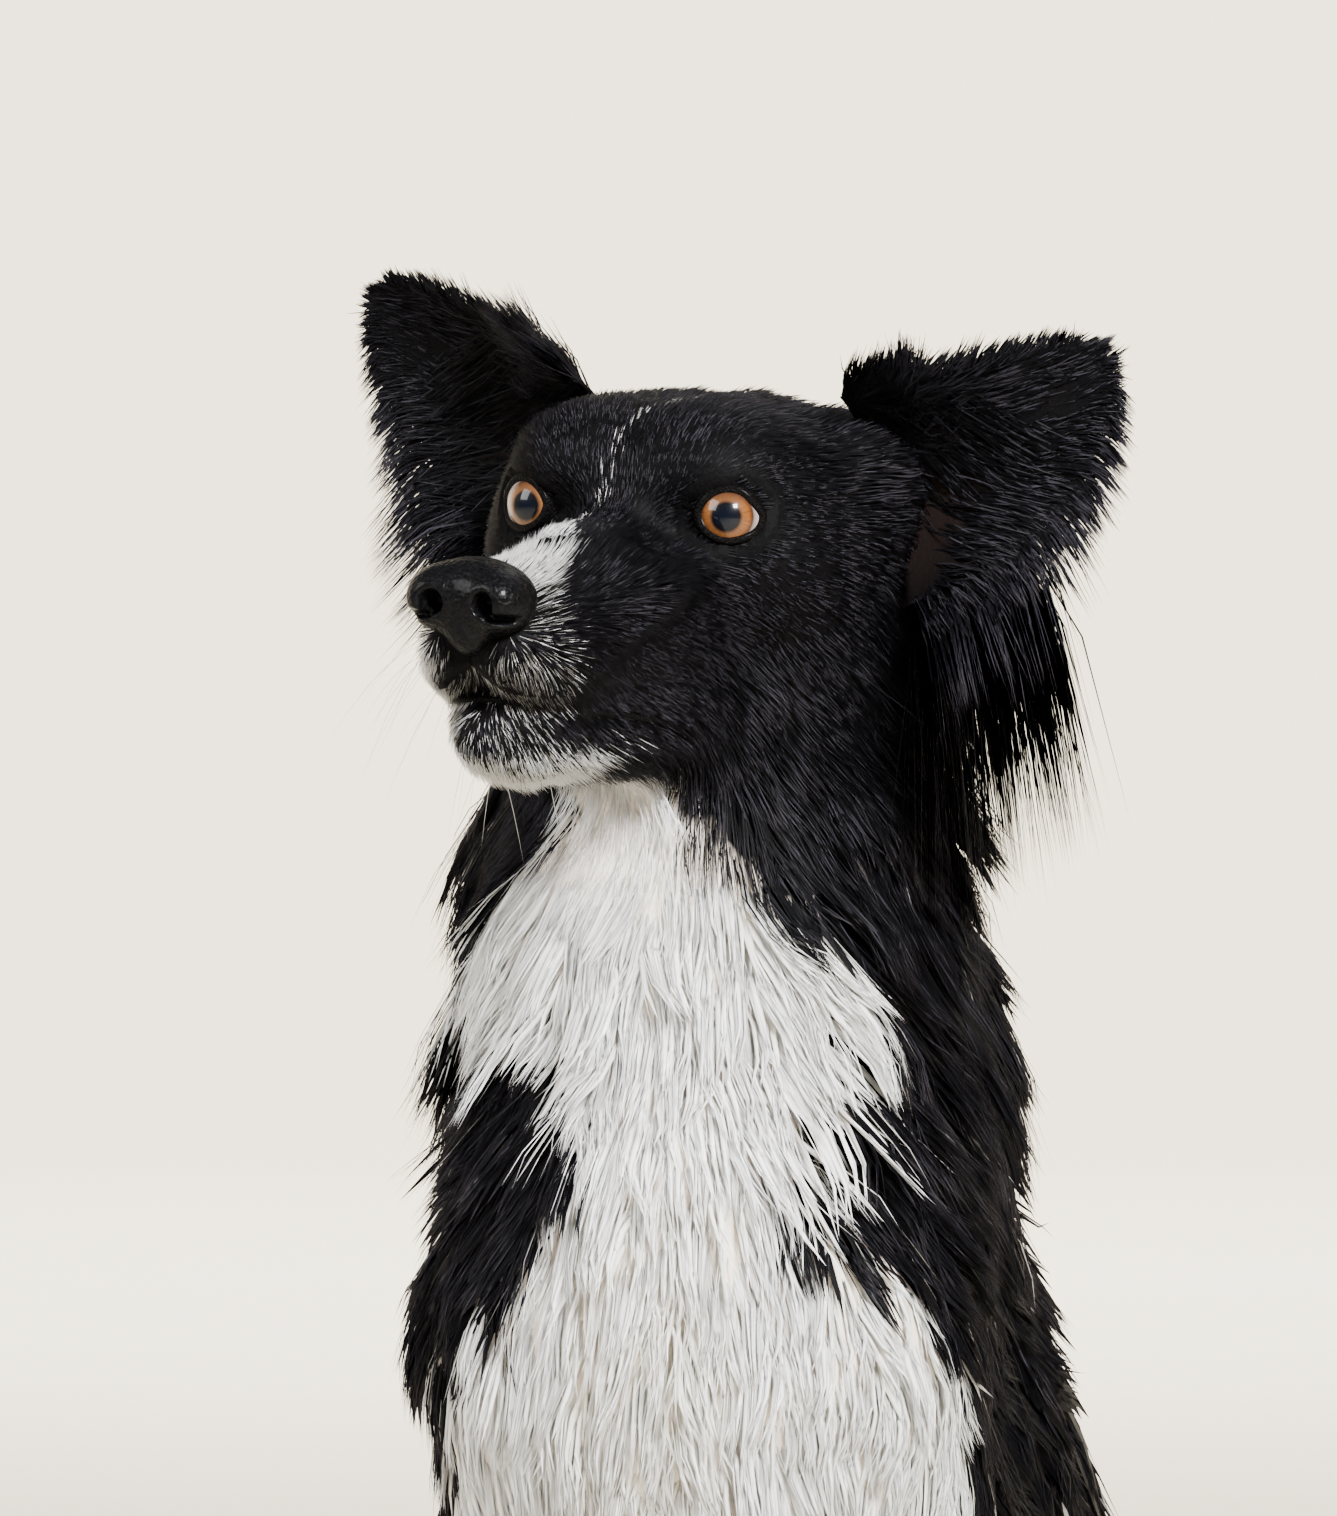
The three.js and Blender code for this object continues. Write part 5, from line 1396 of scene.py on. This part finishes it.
def add_whiskers():
    rng = np.random.default_rng(41)
    stations = STATIONS["long"]
    paths, normals, whites = [], [], []
    for flip in (1, -1):
        for middle, spread_of, lie, number, length, chance in WHISKERS:
            root = from_head((np.array(middle) + rng.uniform(-1, 1, (number, 3)) * spread_of) * (flip, 1, 1))
            for _ in range(6):
                d, normal = slope(flesh, root)
                root = root - normal * d[:, None]
            lie = unit(head_direction(np.array(lie) * (flip, 1, 1)) + rng.normal(0, 0.16, (number, 3)))
            reach = (length * rng.uniform(0.6, 1.1, number))[:, None]
            sag = rng.uniform(0.15, 0.45, number)[:, None] * (0, 0, -1)
            paths.append(np.stack([root + (lie * t + sag * t * t) * reach for t in stations], axis=1))
            normals.append(np.repeat(normal[:, None], len(stations), axis=1))
            whites.append((rng.random(number) < chance) * 0.8)
    path = np.concatenate(paths)
    clump = np.arange(len(path))
    mark = marked(np.concatenate(whites), clump, np.zeros(len(path)), rng)
    uv = unwrap(path[:, 0], from_head((0, -40, -30)), from_head((0, 90, -30)))
    mesh = tuft_mesh("whiskers", path, np.concatenate(normals), np.full(len(path), 0.15), mark, uv, rng)
    new_object("whiskers", mesh, COAT)


def tube(path, radius, sides):
    """Points and quads of an open tube along a path, with a radius at each station."""
    path = np.asarray(path, float)
    ahead = unit(np.gradient(path, axis=0))
    side = unit(np.cross(ahead, (0.02, 0.03, 1)))
    up = np.cross(side, ahead)
    turn = np.linspace(0, 2 * math.pi, sides, endpoint=False)[None, :, None]
    ring = side[:, None] * np.cos(turn) + up[:, None] * np.sin(turn)
    points = path[:, None] + ring * np.asarray(radius, float)[:, None, None]
    return points.reshape(-1, 3), ring_quads(len(path), sides)[:, [0, 3, 2, 1]]


def gathered(parts):
    """Joins the points and faces of several pieces."""
    points, faces, start = [], [], 0
    for p, f in parts:
        points.append(p)
        faces.append(f + start)
        start += len(p)
    return np.concatenate(points), np.concatenate(faces)


def smoothed(line, number):
    """A curve of `number` points through a line's corners."""
    line = np.asarray(line, float)
    at = np.linspace(0, len(line) - 1, number)
    padded = np.concatenate([2 * line[:1] - line[1:2], line, 2 * line[-1:] - line[-2:-1]])
    i = np.minimum(at.astype(int), len(line) - 2)
    t = (at - i)[:, None]
    a, b, c, d = (padded[i + m] for m in range(4))
    return 0.5 * (2 * b + (c - a) * t + (2 * a - 5 * b + 4 * c - d) * t**2 + (3 * b - a - 3 * c + d) * t**3)


LIP = 1.1  # thickest radius of the lips' dark edge


def add_lips():
    line = smoothed(MOUTH_LINE, 90)
    thick = LIP * np.sin(np.linspace(0.12, math.pi - 0.12, len(line))) ** 0.4
    points, quads = tube(line, thick, 10)
    new_object("lips", mesh_of("lips", from_head(points), quads), LID)


CLAW_LENGTH = 12


def add_feet():
    """A curved claw and a pad for each toe, and the larger pad behind them."""
    claws, pads = [], []
    for side in SIDES.values():
        for start, reach, height in PAWS.values():
            for _, tip in toe_ends(start, reach, height):
                t = np.linspace(0, 1, 7)[:, None]
                base = np.array(side(tip)) + (0, -7.5, 2.5)
                line = base + t * (0, -CLAW_LENGTH, 0) + t**2 * (0, 0, -7.5)
                claws.append(tube(line, 2.3 * (1 - t.ravel()) ** 0.6 + 0.05, 8))
                pads.append(ball(np.array(side(tip)) + (0, -3, -4.5), (6.5, 9, 4.6)))
            pads.append(ball(np.array(side(start)) * (1, 1, 0) + (0, -16, 5), (15, 12, 5)))
    new_object("claws", mesh_of("claws", *gathered(claws)), CLAW)
    new_object("pads", mesh_of("pads", *gathered(pads)), PAD)


def ball(middle, size):
    """A ball that the floor flattens."""
    around, rings = 20, 12
    polar = np.linspace(0, math.pi, rings + 1)
    turn = np.linspace(0, 2 * math.pi, around, endpoint=False)
    polar, turn = np.meshgrid(polar, turn, indexing="ij")
    unit_ball = np.stack([np.sin(polar) * np.cos(turn), np.sin(polar) * np.sin(turn), np.cos(polar)], axis=2)
    points = (unit_ball * size + middle).reshape(-1, 3)
    points[:, 2] = np.maximum(points[:, 2], FLOOR_CLEAR)
    return points, ring_quads(rings + 1, around)


# ---------------------------------------------------------------- stage, lights and camera

CAMERA_AZIMUTH = math.radians(15)
CAMERA_DISTANCE = 1600
CAMERA_HEIGHT = 525
CAMERA_SIDE = -36.5  # the view's middle, along its own rightward axis
FOCAL_PIXELS = 5950
FRAME_HEIGHT = 1516
SENSOR = 36


def add_camera():
    right = np.array((math.cos(CAMERA_AZIMUTH), math.sin(CAMERA_AZIMUTH), 0))
    ahead = np.array((-math.sin(CAMERA_AZIMUTH), math.cos(CAMERA_AZIMUTH), 0))
    depth = np.array(HEAD_AT) @ ahead - CAMERA_DISTANCE
    data = bpy.data.cameras.new("camera")
    data.sensor_width = SENSOR
    data.lens = FOCAL_PIXELS / FRAME_HEIGHT * SENSOR
    data.clip_end = 60
    camera = bpy.data.objects.new("camera", data)
    camera.location = placed(right * CAMERA_SIDE + ahead * depth + (0, 0, CAMERA_HEIGHT))
    camera.rotation_euler = (math.pi / 2, 0, CAMERA_AZIMUTH)
    bpy.context.scene.collection.objects.link(camera)
    bpy.context.scene.camera = camera


def add_light(name, azimuth, elevation, distance, size, power):
    """A soft square light that looks at the dog's chest."""
    a, e = math.radians(azimuth), math.radians(elevation)
    back = Vector((math.sin(a) * math.cos(e), -math.cos(a) * math.cos(e), math.sin(e)))
    data = bpy.data.lights.new(name, "AREA")
    data.size, data.energy = size, power
    light = bpy.data.objects.new(name, data)
    light.location = Vector((0, 0, 0.4)) + back * distance
    light.rotation_mode = "QUATERNION"
    light.rotation_quaternion = back.to_track_quat("Z", "Y")
    bpy.context.scene.collection.objects.link(light)


def add_wall_light():
    """A long light overhead that faces the wall behind the dog, and leaves the dog alone."""
    data = bpy.data.lights.new("wall", "AREA")
    data.shape = "RECTANGLE"
    data.size, data.size_y, data.energy = 7.0, 1.0, 1300
    light = bpy.data.objects.new("wall", data)
    light.location = (-0.7, 2.6, 3.4)
    light.rotation_euler = (math.radians(72), 0, CAMERA_AZIMUTH)
    bpy.context.scene.collection.objects.link(light)


BOWL_RADIUS = 9000
BOWL_BEND = 3000
BOWL_TOP = 6000


def add_stage():
    """A floor that curves up into a wall all round: pale behind the dog and darkened in front of it by
    painted shade.
    """
    backdrop = Paint("backdrop", Roughness=0.9)
    grain = backdrop.noise(backdrop.place(), 1.2, 3.0)
    pale = backdrop.mix(grain, (0.87, 0.79, 0.63), (0.90, 0.82, 0.67))
    # The bowl darkens in front of the dog: painted shade that keeps the dog's surroundings dim. Behind the
    # dog it stays pale.
    front_shade_ramp = backdrop.spread(backdrop.node("SeparateXYZ", {0: backdrop.place()})[1], -2.5, 0.5)
    backdrop.set("Base Color", backdrop.mix(front_shade_ramp, (0.28, 0.26, 0.23), pale))
    bend = np.radians(np.linspace(0, 90, 12))
    profile = [(0, 0), (1500, 0), (4000, 0)]
    profile += [
        (BOWL_RADIUS - BOWL_BEND + BOWL_BEND * math.sin(a), BOWL_BEND * (1 - math.cos(a))) for a in bend
    ]
    profile.append((BOWL_RADIUS, BOWL_TOP))
    around = 64
    turn = np.linspace(0, 2 * math.pi, around, endpoint=False)
    rows = [np.stack([r * np.cos(turn), r * np.sin(turn), 0 * turn + z], axis=1) for r, z in profile]
    mesh = mesh_of("backdrop", np.concatenate(rows), ring_quads(len(profile), around)[:, ::-1])
    stage = bpy.data.objects.new("backdrop", mesh)
    mesh.materials.append(backdrop.material)
    bpy.context.scene.collection.objects.link(stage)
    world = bpy.data.worlds.new("studio")
    world.use_nodes = True
    world.node_tree.nodes["Background"].inputs[0].default_value = (1.0, 0.98, 0.95, 1)
    world.node_tree.nodes["Background"].inputs[1].default_value = 0.2
    bpy.context.scene.world = world


add_camera()
add_stage()
# Each light's bearing and height in degrees, distance and size in metres, and watts.
add_light("key", 34, 32, 2.8, 0.6, 360)
add_light("fill", -50, 30, 3.2, 1.6, 140)
add_light("top_back", 165, 60, 3.0, 1.4, 25)
add_wall_light()
skin_mesh_points, skin_triangles = add_skin()
add_nose()
for side_name, side_sign in (("left", -1), ("right", 1)):
    add_eye(side_name, side_sign)
    add_lids(side_name, side_sign)
    add_ear(side_name)
    add_ear_hair(side_name)
add_coat(skin_mesh_points, skin_triangles)
add_whiskers()
add_lips()
add_feet()
